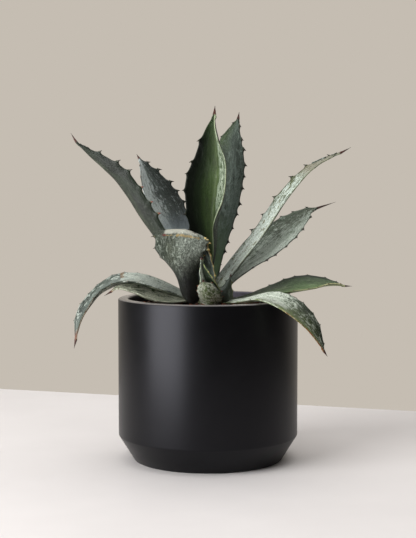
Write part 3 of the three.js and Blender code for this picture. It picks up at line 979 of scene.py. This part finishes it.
# %% Thorns and the whole leaf
def thorn_copies(blade):
    """A copy of the thorn at every tooth of both margins."""
    copies = []
    for sign in (-1, 1):
        for u, size in blade.teeth[sign]:
            place, tangent, side, up_way = blade.frame(u)
            across, up, slope = blade.section(u, 1.0, blade.margin_wave(u, sign))
            outward = side * (sign * math.cos(slope)) + up_way * math.sin(slope)
            face = tangent.cross(outward)
            root = place + side * (sign * across) + up_way * up
            turn = Matrix((face, tangent, outward)).transposed().to_4x4()
            mesh = thorn.data.copy()
            mesh.transform(Matrix.Translation(root) @ turn @ Matrix.Scale(TOOTH_LENGTH * size, 4))
            if turn.determinant() < 0:
                mesh.flip_normals()
            copy = bpy.data.objects.new("thorn_copy", mesh)
            bpy.context.scene.collection.objects.link(copy)
            copies.append((copy, sign, u))
    return copies


def grow_leaf(name, blade, materials):
    """Blade and thorns joined; the materials are upper, under, and the horn of both margins."""
    piece = blade_mesh(name + "_blade", blade, materials)
    copies = thorn_copies(blade)
    for copy, sign, u in copies:
        for material in materials:
            copy.data.materials.append(material)
        horn = 2 if sign < 0 or u > RED_UNTIL.get(name, 1) else 3
        copy.data.polygons.foreach_set("material_index", [horn] * len(copy.data.polygons))
    make_active(piece)
    for copy, _, _ in copies:
        copy.select_set(True)
    bpy.ops.object.join()
    piece.vertex_groups.clear()
    hand_over(piece, "leaf", name)


print("a tooth of size 1 is", TOOTH_LENGTH, "m long")


# %% [markdown]
# ### Leaf finishes
#
# The colour of an agave leaf comes in coats. Under all is dark green flesh. Over it lies a
# pale waxy bloom, thicker on one side than on the other and rubbed off in patches with
# fairly crisp edges. Fine lines run with the veins, corky scars show old rubs, and the tip
# is brown horn. A picture of a leaf could be wrapped round the blade, but coats can be laid
# thick on one leaf and thin on the next, so every leaf gets the same coats in tones of its
# own. Places along and across the blade are shares of it, from 0 to 1.

# %% What sets one face of a leaf apart
HORN = paint(66, 34, 26)
DEEP = paint(22, 34, 18)
HORN_TIP = paint(26, 16, 14)
SCAR = paint(96, 94, 58)
FROST = paint(205, 212, 200)
WHITE = paint(255, 255, 255)


@dataclass
class Look:
    flesh: tuple  # colours of the flesh, evenly spread from the left margin to the right
    bloom: tuple  # colour of the wax
    cover: tuple  # how much wax lies on the flesh, evenly spread in the same way
    frost: tuple = FROST  # colour of the thickest wax, and of the scratches
    streaks: float = 0.6  # how unevenly the wax lies, in streaks along the blade
    patches: float = 1.0  # and in rubbed patches
    mottle: float = 1.0  # how small those patches and the scars are
    lines: float = 0.5  # strength of the fine lines along the veins
    specks: float = 0.5  # strength of the dark specks
    scuffs: float = 0.4  # strength of the pale scratches
    crumple: float = 0.0  # strength of the creases of slack skin, with painted shade
    scars: float = 0.0  # strength of the corky scars in the wax
    scar: tuple = SCAR  # colour of the scars
    scar_level: float = 0.6  # the higher, the fewer scars
    worn: tuple = None  # (start, end, depth) of wax lost on the way from start to end
    base: tuple = None  # (colour, last place where it is full, place where it ends)
    tip: tuple = None  # colour of a dry tip
    tip_start: float = 0.8
    tip_cover: float = 1.0
    bands: tuple = ()  # (start, end, colour, cover, left, right) of each band across
    rims: tuple = (DEEP, DEEP)  # colours of the left and the right margin
    rim_width: float = 0.06
    rim_start: float = -0.2  # place where the coloured margins begin
    shine: float = 0.4


print("one face is set by", len(fields(Look)), "values")


# %% The patterns in the skin
class Skin(Finish):
    """A finish on the blade's own map, with patterns sized per millimetre of leaf."""

    def __init__(self, name, blade, look):
        super().__init__(name)
        self.look = look
        self.end = blade.end
        self.size_mm = (blade.width / MM, blade.length / MM)
        self.seed = (sum(map(ord, name)) % 89) * 0.37
        self.map = self.add("UVMap", uv_map="UVMap").outputs["UV"]
        self.across, self.down, _ = self.split(self.map)
        self.cloud = self.grain(0.05, 0.03, 1, detail=5.0)
        self.fine = self.grain(1.6, 0.03, 2, detail=3.0)
        self.streak = self.grain(0.45, 0.022, 3, detail=5.0, roughness=0.65)
        self.patch = self.grain(
            0.13 * look.mottle, 0.055 * look.mottle**1.5, 4, detail=7.0, roughness=0.68, swirl=0.6
        )
        self.speck = self.grain(0.8, 0.5, 5, detail=3.0, roughness=0.7)

    def grain(self, per_mm_across, per_mm_along, layer, detail=4.0, roughness=0.6, swirl=0.0):
        """Noise that is drawn out along the blade as far as the two scales differ."""
        width_mm, length_mm = self.size_mm
        mapping = self.add("Mapping")
        mapping.inputs["Location"].default_value = (0, 0, self.seed + layer)
        mapping.inputs["Scale"].default_value = (
            width_mm * per_mm_across, length_mm * per_mm_along, 1)
        self.feed(mapping.inputs["Vector"], self.map)
        return self.noise(mapping.outputs["Vector"], 1.0, detail, roughness, swirl)

    def spread(self, pattern, amount):
        """The pattern, which lies round a half, turned into a swing round nought."""
        return self.times(self.minus(pattern, 0.5), amount)

    def off(self, value, middle):
        return self.math("ABSOLUTE", self.minus(value, middle))

    def lay(self, over, cover, blend="MIX"):
        self.colour = self.coat(self.colour, over, cover, blend)

    def shade(self, pattern, start, end, dark, strength):
        """Darkens the skin where the pattern is low."""
        self.lay(self.ramp(pattern, [(start, dark), (end, WHITE)]), strength, blend="MULTIPLY")


print("patterns are sized per", MM, "m of leaf")


# %% Flesh and wax
WAX_SHOWS = (0.25, 0.75)  # amounts of wax from bare flesh to closed bloom
WAX_IS_THICK = (0.6, 1.3)


def evenly(values):
    """Places for the stops of a ramp, kept a tenth away from the margins."""
    return [0.1 + 0.8 * i / (len(values) - 1) for i in range(len(values))]


def lay_flesh(skin):
    look = skin.look
    stray = 0.35 if len(look.flesh) < 4 else 0.15
    skin.strayed = skin.plus(skin.across, skin.spread(skin.cloud, stray))
    skin.colour = skin.ramp(skin.strayed, list(zip(evenly(look.flesh), look.flesh)))
    skin.shade(skin.cloud, 0.3, 0.65, paint(190, 190, 190), 1.0)


def lay_wax(skin):
    look = skin.look
    greys = [(value, value, value, 1) for value in look.cover]
    amount = skin.ramp(skin.strayed, list(zip(evenly(greys), greys)))
    amount = skin.plus(amount, skin.spread(skin.streak, look.streaks * 1.6))
    amount = skin.plus(amount, skin.spread(skin.patch, look.patches * 2.2))
    amount = skin.plus(amount, skin.spread(skin.fine, 0.5))
    if look.worn is not None:
        start, end, depth = look.worn
        amount = skin.minus(amount, skin.fade(skin.down, start, end, 0.0, depth))
    skin.wax = amount
    thick = skin.times(skin.fade(amount, *WAX_IS_THICK), skin.fade(skin.speck, 0.4, 0.6, 0.3, 1.0))
    skin.lay(skin.coat(look.bloom, look.frost, thick), skin.fade(amount, *WAX_SHOWS, 0.0, 0.96))


print("wax shows and closes at", WAX_SHOWS)


# %% Lines, specks, scratches and creases
def mark(skin):
    look = skin.look
    skin.shade(skin.fine, 0.35, 0.6, paint(150, 156, 145), look.lines)
    skin.shade(skin.speck, 0.34, 0.5, paint(96, 104, 88), look.specks)
    off_line = skin.off(skin.grain(0.16, 0.07, 7, detail=2.0, swirl=1.2), 0.5)
    on_patch = skin.fade(skin.patch, 0.42, 0.6, 0.0, look.scuffs)
    skin.lay(look.frost, skin.times(skin.fade(off_line, 0.03, 0.0), on_patch))
    # The creases are painted dark: painted shade in the folds of slack skin, beside their bump.
    if look.crumple:
        skin.off_crease = skin.off(skin.grain(0.26, 0.22, 8, detail=3.0, swirl=1.4), 0.5)
        skin.lay(DEEP, skin.fade(skin.off_crease, 0.05, 0.0, 0.0, look.crumple * 0.6))


def lay_scars(skin):
    look = skin.look
    corky = skin.grain(
        0.2 * look.mottle, 0.09 * look.mottle, 6, detail=5.0, roughness=0.7, swirl=0.8
    )
    on_wax = skin.fade(skin.wax, 0.5, 0.8, 0.0, look.scars)
    hole = skin.fade(corky, look.scar_level, look.scar_level + 0.05)
    skin.lay(look.scar, skin.times(hole, on_wax))


print("frost, the colour of scratches:", [round(value, 2) for value in FROST])


# %% Base, bands, tip and margins
BAND_EDGE = 0.06
TIP_FADE = 0.1
RIM_FADE = 0.15


def lay_base(skin):
    colour, full, end = skin.look.base
    ragged = skin.plus(skin.down, skin.spread(skin.patch, 0.2))
    skin.lay(colour, skin.fade(ragged, end, full))


def lay_band(skin, start, end, colour, cover, left, right):
    half = (end - start) / 2
    ragged = skin.plus(skin.off(skin.down, (start + end) / 2), skin.spread(skin.patch, 0.05))
    within = skin.times(skin.fade(skin.across, left - BAND_EDGE, left),
                        skin.fade(skin.across, right + BAND_EDGE, right))
    skin.lay(colour, skin.times(skin.fade(ragged, half, half * 0.6, 0.0, cover), within))


def lay_tip(skin):
    look = skin.look
    ragged = skin.plus(skin.down, skin.spread(skin.patch, 0.15))
    start = look.tip_start
    skin.lay(look.tip, skin.fade(ragged, start, start + TIP_FADE, 0.0, look.tip_cover))


def lay_rims(skin):
    look = skin.look
    left, right = look.rims
    off_midrib = skin.off(skin.times(skin.across, 2.0), 1.0)
    on_rim = skin.times(skin.fade(off_midrib, 1 - look.rim_width, 1 - look.rim_width / 6),
                        skin.fade(skin.cloud, 0.35, 0.6, 0.3, 0.9))
    begun = skin.fade(skin.down, look.rim_start, look.rim_start + RIM_FADE)
    skin.lay(skin.ramp(skin.across, [(0.45, left), (0.55, right)]), skin.times(on_rim, begun))


def lay_spine(skin):
    skin.lay(HORN, skin.fade(skin.down, skin.end - 0.006, skin.end + 0.004))
    skin.lay(HORN_TIP, skin.fade(skin.down, skin.end + 0.01, 1.0))


print("a dry tip takes", TIP_FADE, "of the leaf to set in")


# %% All the coats in their order
SKIN_RELIEF = 0.0009
BARE_ROUGHNESS = 0.44
WAXED_ROUGHNESS = 0.58


def leaf_finish(name, blade, look):
    skin = Skin(name, blade, look)
    lay_flesh(skin)
    lay_wax(skin)
    mark(skin)
    if look.base is not None:
        lay_base(skin)
    for band in look.bands:
        lay_band(skin, *band)
    if look.scars:
        lay_scars(skin)
    if look.tip is not None:
        lay_tip(skin)
    lay_rims(skin)
    lay_spine(skin)
    height = skin.plus(skin.times(skin.patch, 1.6), skin.times(skin.fine, 0.35))
    height = skin.plus(height, skin.times(skin.speck, 0.25))
    if look.crumple:
        height = skin.plus(height, skin.times(skin.off_crease, look.crumple * 9))
    roughness = skin.fade(skin.wax, 0.3, 0.7, BARE_ROUGHNESS, WAXED_ROUGHNESS)
    normal = skin.bump(height, SKIN_RELIEF, 0.7)
    return skin.done(skin.colour, roughness, normal, specular=look.shine)


print("roughness, bare and waxed:", BARE_ROUGHNESS, WAXED_ROUGHNESS)


# %% Horn
def horn_finish(name, root, middle, point):
    """The thorn's map runs from root to point, so its colour changes on the way."""
    finish = Finish(name)
    _, height, _ = finish.split(finish.add("UVMap", uv_map="UVMap").outputs["UV"])
    colour = finish.ramp(height, [(0.2, root), (0.45, middle), (0.9, point)])
    grain = finish.noise(finish.object_place(), 900.0)
    return finish.done(colour, 0.45, finish.bump(grain, 0.0002, 0.4), specular=0.45)


DARK_HORN = horn_finish("dark_horn", paint(58, 62, 48), paint(44, 34, 28), paint(28, 20, 18))
RED_HORN = horn_finish("red_horn", paint(92, 84, 56), paint(124, 42, 28), paint(62, 22, 18))
STRAW_HORN = horn_finish(
    "straw_horn", paint(150, 146, 104), paint(186, 160, 96), paint(104, 70, 36)
)
print("horn finishes:", DARK_HORN.name, RED_HORN.name, STRAW_HORN.name)


# %% [markdown]
# ### Every leaf's own tones
#
# Each leaf has tones for its upper face, which looks to the middle of the plant, and for its
# underside. Left and right are as seen from the base to the tip on the upper face. Leaves at
# the back share a plain look, and most teeth are dark horn; the rest is written down here.

# %% Tones and the upper faces
DARK = paint(46, 59, 43)
SLATE = paint(60, 71, 64)
MOSS = paint(74, 88, 62)
GRASS = paint(78, 100, 54)
OLIVE = paint(94, 102, 66)
LEMON = paint(150, 164, 106)
CREAM = paint(196, 196, 180)
BLUE_BLOOM = paint(120, 133, 127)
GREY_BLOOM = paint(150, 162, 151)
PALE_BLOOM = paint(184, 194, 180)
WARM_BLOOM = paint(178, 181, 160)
RUST = paint(120, 60, 36)
STRAW = paint(168, 144, 92)

PLAIN_UPPER = Look(flesh=(DARK, SLATE, DARK), bloom=GREY_BLOOM, cover=(0.6, 0.4, 0.6))
PLAIN_UNDER = Look(flesh=(DARK, SLATE, DARK), bloom=BLUE_BLOOM, cover=(0.5, 0.5, 0.5))

UPPER_LOOKS = {
    "leaf_left_mid": Look(
        flesh=(paint(50, 61, 54), paint(64, 76, 70), paint(92, 105, 99),
               paint(134, 147, 141), paint(168, 180, 175)),
        bloom=paint(210, 221, 220), cover=(0.0, 0.0, 0.25, 0.7, 1.0), frost=paint(228, 236, 235),
        patches=1.4, mottle=1.5, crumple=0.4, lines=0.4, scuffs=0.35,
        base=(paint(186, 200, 210), 0.34, 0.6),
    ),
    "leaf_centre_tall": Look(
        # The flesh runs to near black towards the right margin: painted shade on the half of the
        # gutter that faces away from the light. The pale waxed side is its bloom.
        flesh=(GRASS, paint(60, 74, 46), paint(58, 72, 42), paint(72, 90, 48),
               paint(52, 70, 34), paint(24, 36, 17), paint(9, 15, 7)),
        bloom=paint(156, 168, 148), cover=(1.2, 1.15, 0.75, 0.1, 0.0, 0.0, 0.0),
        frost=paint(190, 198, 182), streaks=0.3, patches=0.6, mottle=1.5, scuffs=0.0, scars=1.0,
        scar=paint(44, 62, 30), scar_level=0.46, worn=(0.5, 0.3, 1.2), tip=paint(44, 62, 32),
        tip_start=0.82, rims=(paint(150, 160, 130), DEEP), rim_width=0.03, shine=0.2,
    ),
    "leaf_right_tall": Look(
        flesh=(paint(98, 113, 101), paint(104, 118, 107), paint(98, 118, 84)),
        bloom=paint(148, 165, 154), cover=(0.8, 0.6, 0.3), frost=paint(160, 174, 164),
        streaks=0.4, mottle=1.4, crumple=0.5, lines=0.4, scuffs=0.6, worn=(0.55, 0.95, 0.6),
        base=(paint(128, 156, 114), 0.1, 0.5),
    ),
    "leaf_right_long": Look(
        flesh=(paint(116, 127, 102), paint(96, 104, 72), OLIVE), bloom=paint(200, 212, 202),
        cover=(1.1, 1.1, 0.9), frost=paint(214, 222, 214), streaks=0.5, patches=1.4, mottle=1.7,
        scars=0.9, scar_level=0.54, worn=(0.4, 0.62, 0.5), base=(paint(84, 98, 62), 0.02, 0.12),
        tip=paint(112, 106, 88), tip_start=0.68, tip_cover=0.8,
        rims=(paint(120, 126, 100), paint(44, 44, 30)), rim_width=0.14,
    ),
    "leaf_right_mid": Look(
        flesh=(paint(122, 139, 114), paint(114, 129, 103), paint(86, 102, 80)),
        bloom=paint(190, 204, 190), cover=(1.1, 0.7, 0.35), frost=paint(214, 222, 212),
        streaks=0.8, patches=1.2, mottle=1.6, crumple=0.3, specks=0.7, scuffs=0.6,
        worn=(0.45, 0.9, 0.5), base=(DARK, 0.0, 0.14),
    ),
    "leaf_right_low_back": Look(
        flesh=(paint(104, 138, 82), paint(92, 124, 70), paint(64, 90, 50)),
        bloom=paint(128, 152, 104), cover=(0.4, 0.3, 0.1), frost=paint(160, 178, 140),
        streaks=0.5, patches=0.8, rims=(paint(214, 212, 160), DEEP), rim_width=0.32,
        rim_start=0.45,
    ),
    "leaf_right_low_front": Look(
        flesh=(paint(126, 148, 84), paint(92, 106, 70), paint(60, 72, 52)),
        bloom=paint(190, 200, 184), cover=(0.6, 1.1, 0.9), streaks=0.5, patches=1.3, specks=1.0,
        worn=(0.5, 0.68, 0.7), mottle=1.4, rims=(RUST, DARK), rim_start=0.55,
    ),
    "leaf_left_low_long": Look(
        flesh=(paint(66, 76, 68), paint(100, 110, 104), paint(62, 72, 62)),
        bloom=paint(194, 203, 194), cover=(1.0, 0.9, 0.6), patches=1.4, specks=0.8, mottle=1.6,
        worn=(0.38, 0.52, 0.75), tip=RUST, tip_start=0.87,
        bands=((0.44, 0.46, paint(120, 90, 54), 0.6, -0.2, 0.3),), rims=(DARK, paint(92, 74, 52)),
        rim_start=0.6,
    ),
    "leaf_left_low_short": Look(
        flesh=(GRASS, MOSS, OLIVE), bloom=paint(206, 210, 186), cover=(0.8, 0.85, 0.8),
        frost=paint(226, 230, 208), streaks=0.3, patches=2.0, mottle=1.3, crumple=0.9,
        tip=paint(150, 84, 44), tip_start=0.86, scuffs=0.8,
    ),
    "leaf_front_folded": Look(
        flesh=(DARK, DARK, SLATE), bloom=BLUE_BLOOM, cover=(0.2, 0.3, 0.45), streaks=0.9,
        rims=(STRAW, STRAW),
    ),
    "leaf_front_small": Look(
        flesh=(MOSS, OLIVE, MOSS), bloom=WARM_BLOOM, cover=(0.6, 0.5, 0.6), patches=1.3,
    ),
    "leaf_front_tip": Look(
        flesh=(DARK, DEEP, DARK), bloom=paint(140, 156, 134), cover=(0.0, 0.0, 1.4), streaks=0.2,
        patches=0.5, rims=(LEMON, paint(150, 162, 138)),
    ),
    "leaf_front_right": Look(flesh=(DARK, DARK, DARK), bloom=BLUE_BLOOM, cover=(0.3, 0.2, 0.2)),
}
print(len(UPPER_LOOKS), "upper faces with a look of their own")

# %% The undersides
UNDER_LOOKS = {
    "leaf_left_long": Look(
        flesh=(DEEP, paint(32, 41, 28), DEEP), bloom=paint(62, 69, 54), cover=(0.35, 0.35, 0.0),
        frost=paint(104, 111, 96), streaks=0.9, patches=0.5, lines=0.7, specks=0.3, scuffs=0.2,
        base=(paint(34, 40, 30), 0.05, 0.3), rims=(paint(110, 118, 104), DEEP),
    ),
    "leaf_centre_tall": Look(flesh=(DARK, DARK, DEEP), bloom=BLUE_BLOOM, cover=(0.3, 0.2, 0.0)),
    "leaf_right_mid": Look(flesh=(DARK, DARK, SLATE), bloom=BLUE_BLOOM, cover=(0.4, 0.3, 0.4)),
    "leaf_right_low_back": Look(flesh=(LEMON, LEMON, LEMON), bloom=CREAM, cover=(0.2, 0.2, 0.2)),
    "leaf_right_low_front": Look(
        flesh=(LEMON, OLIVE, SLATE), bloom=PALE_BLOOM, cover=(0.4, 0.6, 0.4),
    ),
    "leaf_left_low_long": Look(flesh=(DARK, DARK, DARK), bloom=WARM_BLOOM, cover=(0.4, 0.4, 0.4)),
    "leaf_left_low_short": Look(
        flesh=(OLIVE, OLIVE, OLIVE), bloom=WARM_BLOOM, cover=(0.6, 0.6, 0.6), patches=1.3,
    ),
    "leaf_front_folded": Look(
        flesh=(paint(70, 78, 66), paint(86, 92, 78), paint(120, 128, 116), paint(104, 112, 98)),
        bloom=paint(136, 144, 132), cover=(0.25, 0.3, 0.8, 0.8), frost=paint(172, 180, 168),
        streaks=0.1, patches=1.1, lines=0.1, specks=0.8, scuffs=0.7, mottle=1.8, crumple=1.5,
        # The near black base is painted shade, under the flap of the folded blade.
        base=(paint(17, 20, 15), 0.22, 0.42),
        bands=(
            (0.524, 0.62, paint(200, 200, 186), 0.8, 0.22, 0.76),  # pale top of the fold: painted highlight on the crest
            (0.516, 0.524, STRAW, 0.7, 0.24, 0.8),  # dry crease in front of it
            (0.515, 0.53, paint(90, 20, 14), 0.9, 0.19, 0.19),  # red spot at its left end
        ),
    ),
    "leaf_front_small": Look(
        flesh=(paint(92, 104, 86), paint(104, 124, 66), paint(78, 96, 56)), bloom=WARM_BLOOM,
        cover=(0.8, 0.5, 0.6), streaks=0.15, patches=2.0, mottle=2.6, specks=0.9, crumple=0.7,
    ),
    "leaf_front_tip": Look(flesh=(MOSS, MOSS, LEMON), bloom=PALE_BLOOM, cover=(0.6, 0.6, 0.8)),
    "leaf_front_right": Look(
        flesh=(SLATE, paint(84, 94, 84), paint(104, 116, 96)), bloom=BLUE_BLOOM,
        cover=(0.2, 0.3, 0.4), rims=(DARK, LEMON), rim_width=0.2,
    ),
}
print(len(UNDER_LOOKS), "undersides with a look of their own")

# %% The horn of the teeth, on the left and the right margin
PLAIN_HORNS = (DARK_HORN, DARK_HORN)
HORNS = {
    "leaf_left_long": (DARK_HORN, RED_HORN),
    "leaf_left_mid": (DARK_HORN, RED_HORN),
    "leaf_right_low_back": (RED_HORN, DARK_HORN),
    "leaf_right_low_front": (RED_HORN, DARK_HORN),
    "leaf_left_low_long": (DARK_HORN, RED_HORN),
    "leaf_left_low_short": (DARK_HORN, RED_HORN),
    "leaf_front_folded": (DARK_HORN, STRAW_HORN),
    "leaf_front_small": (RED_HORN, RED_HORN),
    "leaf_front_tip": (STRAW_HORN, RED_HORN),
    "leaf_front_right": (DARK_HORN, RED_HORN),
}
print(len(HORNS), "leaves with teeth of another colour")

# %% Grow them all
for leaf_name in LEAVES:
    blade = Blade(leaf_name)
    upper = leaf_finish(leaf_name + "_upper", blade, UPPER_LOOKS.get(leaf_name, PLAIN_UPPER))
    under = leaf_finish(leaf_name + "_under", blade, UNDER_LOOKS.get(leaf_name, PLAIN_UNDER))
    grow_leaf(leaf_name, blade, (upper, under, *HORNS.get(leaf_name, PLAIN_HORNS)))
bpy.data.objects.remove(thorn)


# %% [markdown]
# ## Table, wall and light
#
# The plant stands on a pale tabletop that ends a little behind it, turned slightly away from
# the camera, in front of a warm beige wall. A wall built as an object would hide the plant
# from behind, so the wall is only the world's colour. The camera sees that colour on every
# side, but the plant is lit and mirrored by a darker room in front. The light is one tall
# softbox at the left front, which draws the long highlight on the pot and throws a soft
# shadow to the right, and a broad, weak light from above that fills the shadows.

# %% Tabletop
TABLE_TURN = math.radians(-17.5)
TABLE_BACK = 0.411
TABLE_SIZE = (2.4, 1.0, 0.03)

deselect_all()
bpy.ops.mesh.primitive_cube_add(size=1)
tabletop = bpy.context.object
tabletop.name = "tabletop"
tabletop.data.transform(
    Matrix.Rotation(TABLE_TURN, 4, "Z")
    @ Matrix.Translation((0, TABLE_BACK - TABLE_SIZE[1] / 2, -TABLE_SIZE[2] / 2))
    @ Matrix.Diagonal((*TABLE_SIZE, 1))
)


def pale_laminate():
    finish = Finish("pale_laminate")
    cloud = finish.noise(finish.object_place(), 6.0, detail=3.0)
    colour = finish.ramp(cloud, [(0.3, paint(226, 222, 221)), (0.7, paint(230, 226, 225))])
    return finish.done(colour, 0.6, specular=0.3)


tabletop.data.materials.append(pale_laminate())
print("tabletop", TABLE_SIZE)

# %% World
WALL_COLOUR = paint(197, 189, 178)
ROOM_COLOUR = paint(52, 49, 46)

world = bpy.data.worlds.new("studio")
bpy.context.scene.world = world
world.use_nodes = True
sky = Tree(world.node_tree)
_, towards_back, _ = sky.split(sky.add("TexCoord").outputs["Generated"])
room = sky.coat(ROOM_COLOUR, WALL_COLOUR, sky.fade(towards_back, 0.1, 0.9))
seen = sky.coat(room, WALL_COLOUR, sky.add("LightPath").outputs["Is Camera Ray"])
sky.feed(world.node_tree.nodes["Background"].inputs["Color"], seen)
print("world ready")


# %% Lights
KEY_AZIMUTH = math.radians(53)
KEY_DISTANCE = 2.2
KEY_HEIGHT = 0.42
KEY_SIZE = (1.8, 2.5)
KEY_POWER = 116
FILL_SIZE = (3.2, 3.2)
FILL_POWER = 54
FILL_TINT = (1.0, 0.99, 0.98)


def softbox(name, place, target, size, power, colour=(1, 1, 1)):
    data = bpy.data.lights.new(name, "AREA")
    data.shape = "RECTANGLE"
    data.size, data.size_y = size
    data.energy = power
    data.color = colour
    light = bpy.data.objects.new(name, data)
    light.location = place
    light.rotation_euler = (Vector(target) - Vector(place)).to_track_quat("-Z", "Y").to_euler()
    bpy.context.scene.collection.objects.link(light)
    print(name, power, "W")


key_x = -KEY_DISTANCE * math.sin(KEY_AZIMUTH)
key_y = -KEY_DISTANCE * math.cos(KEY_AZIMUTH)
softbox("key", (key_x, key_y, KEY_HEIGHT), (0, 0, 0.25), KEY_SIZE, KEY_POWER)
softbox("overhead", (0.0, 0.1, 2.4), (0, 0, 0), FILL_SIZE, FILL_POWER, FILL_TINT)
bpy.context.scene.view_settings.view_transform = "Standard"
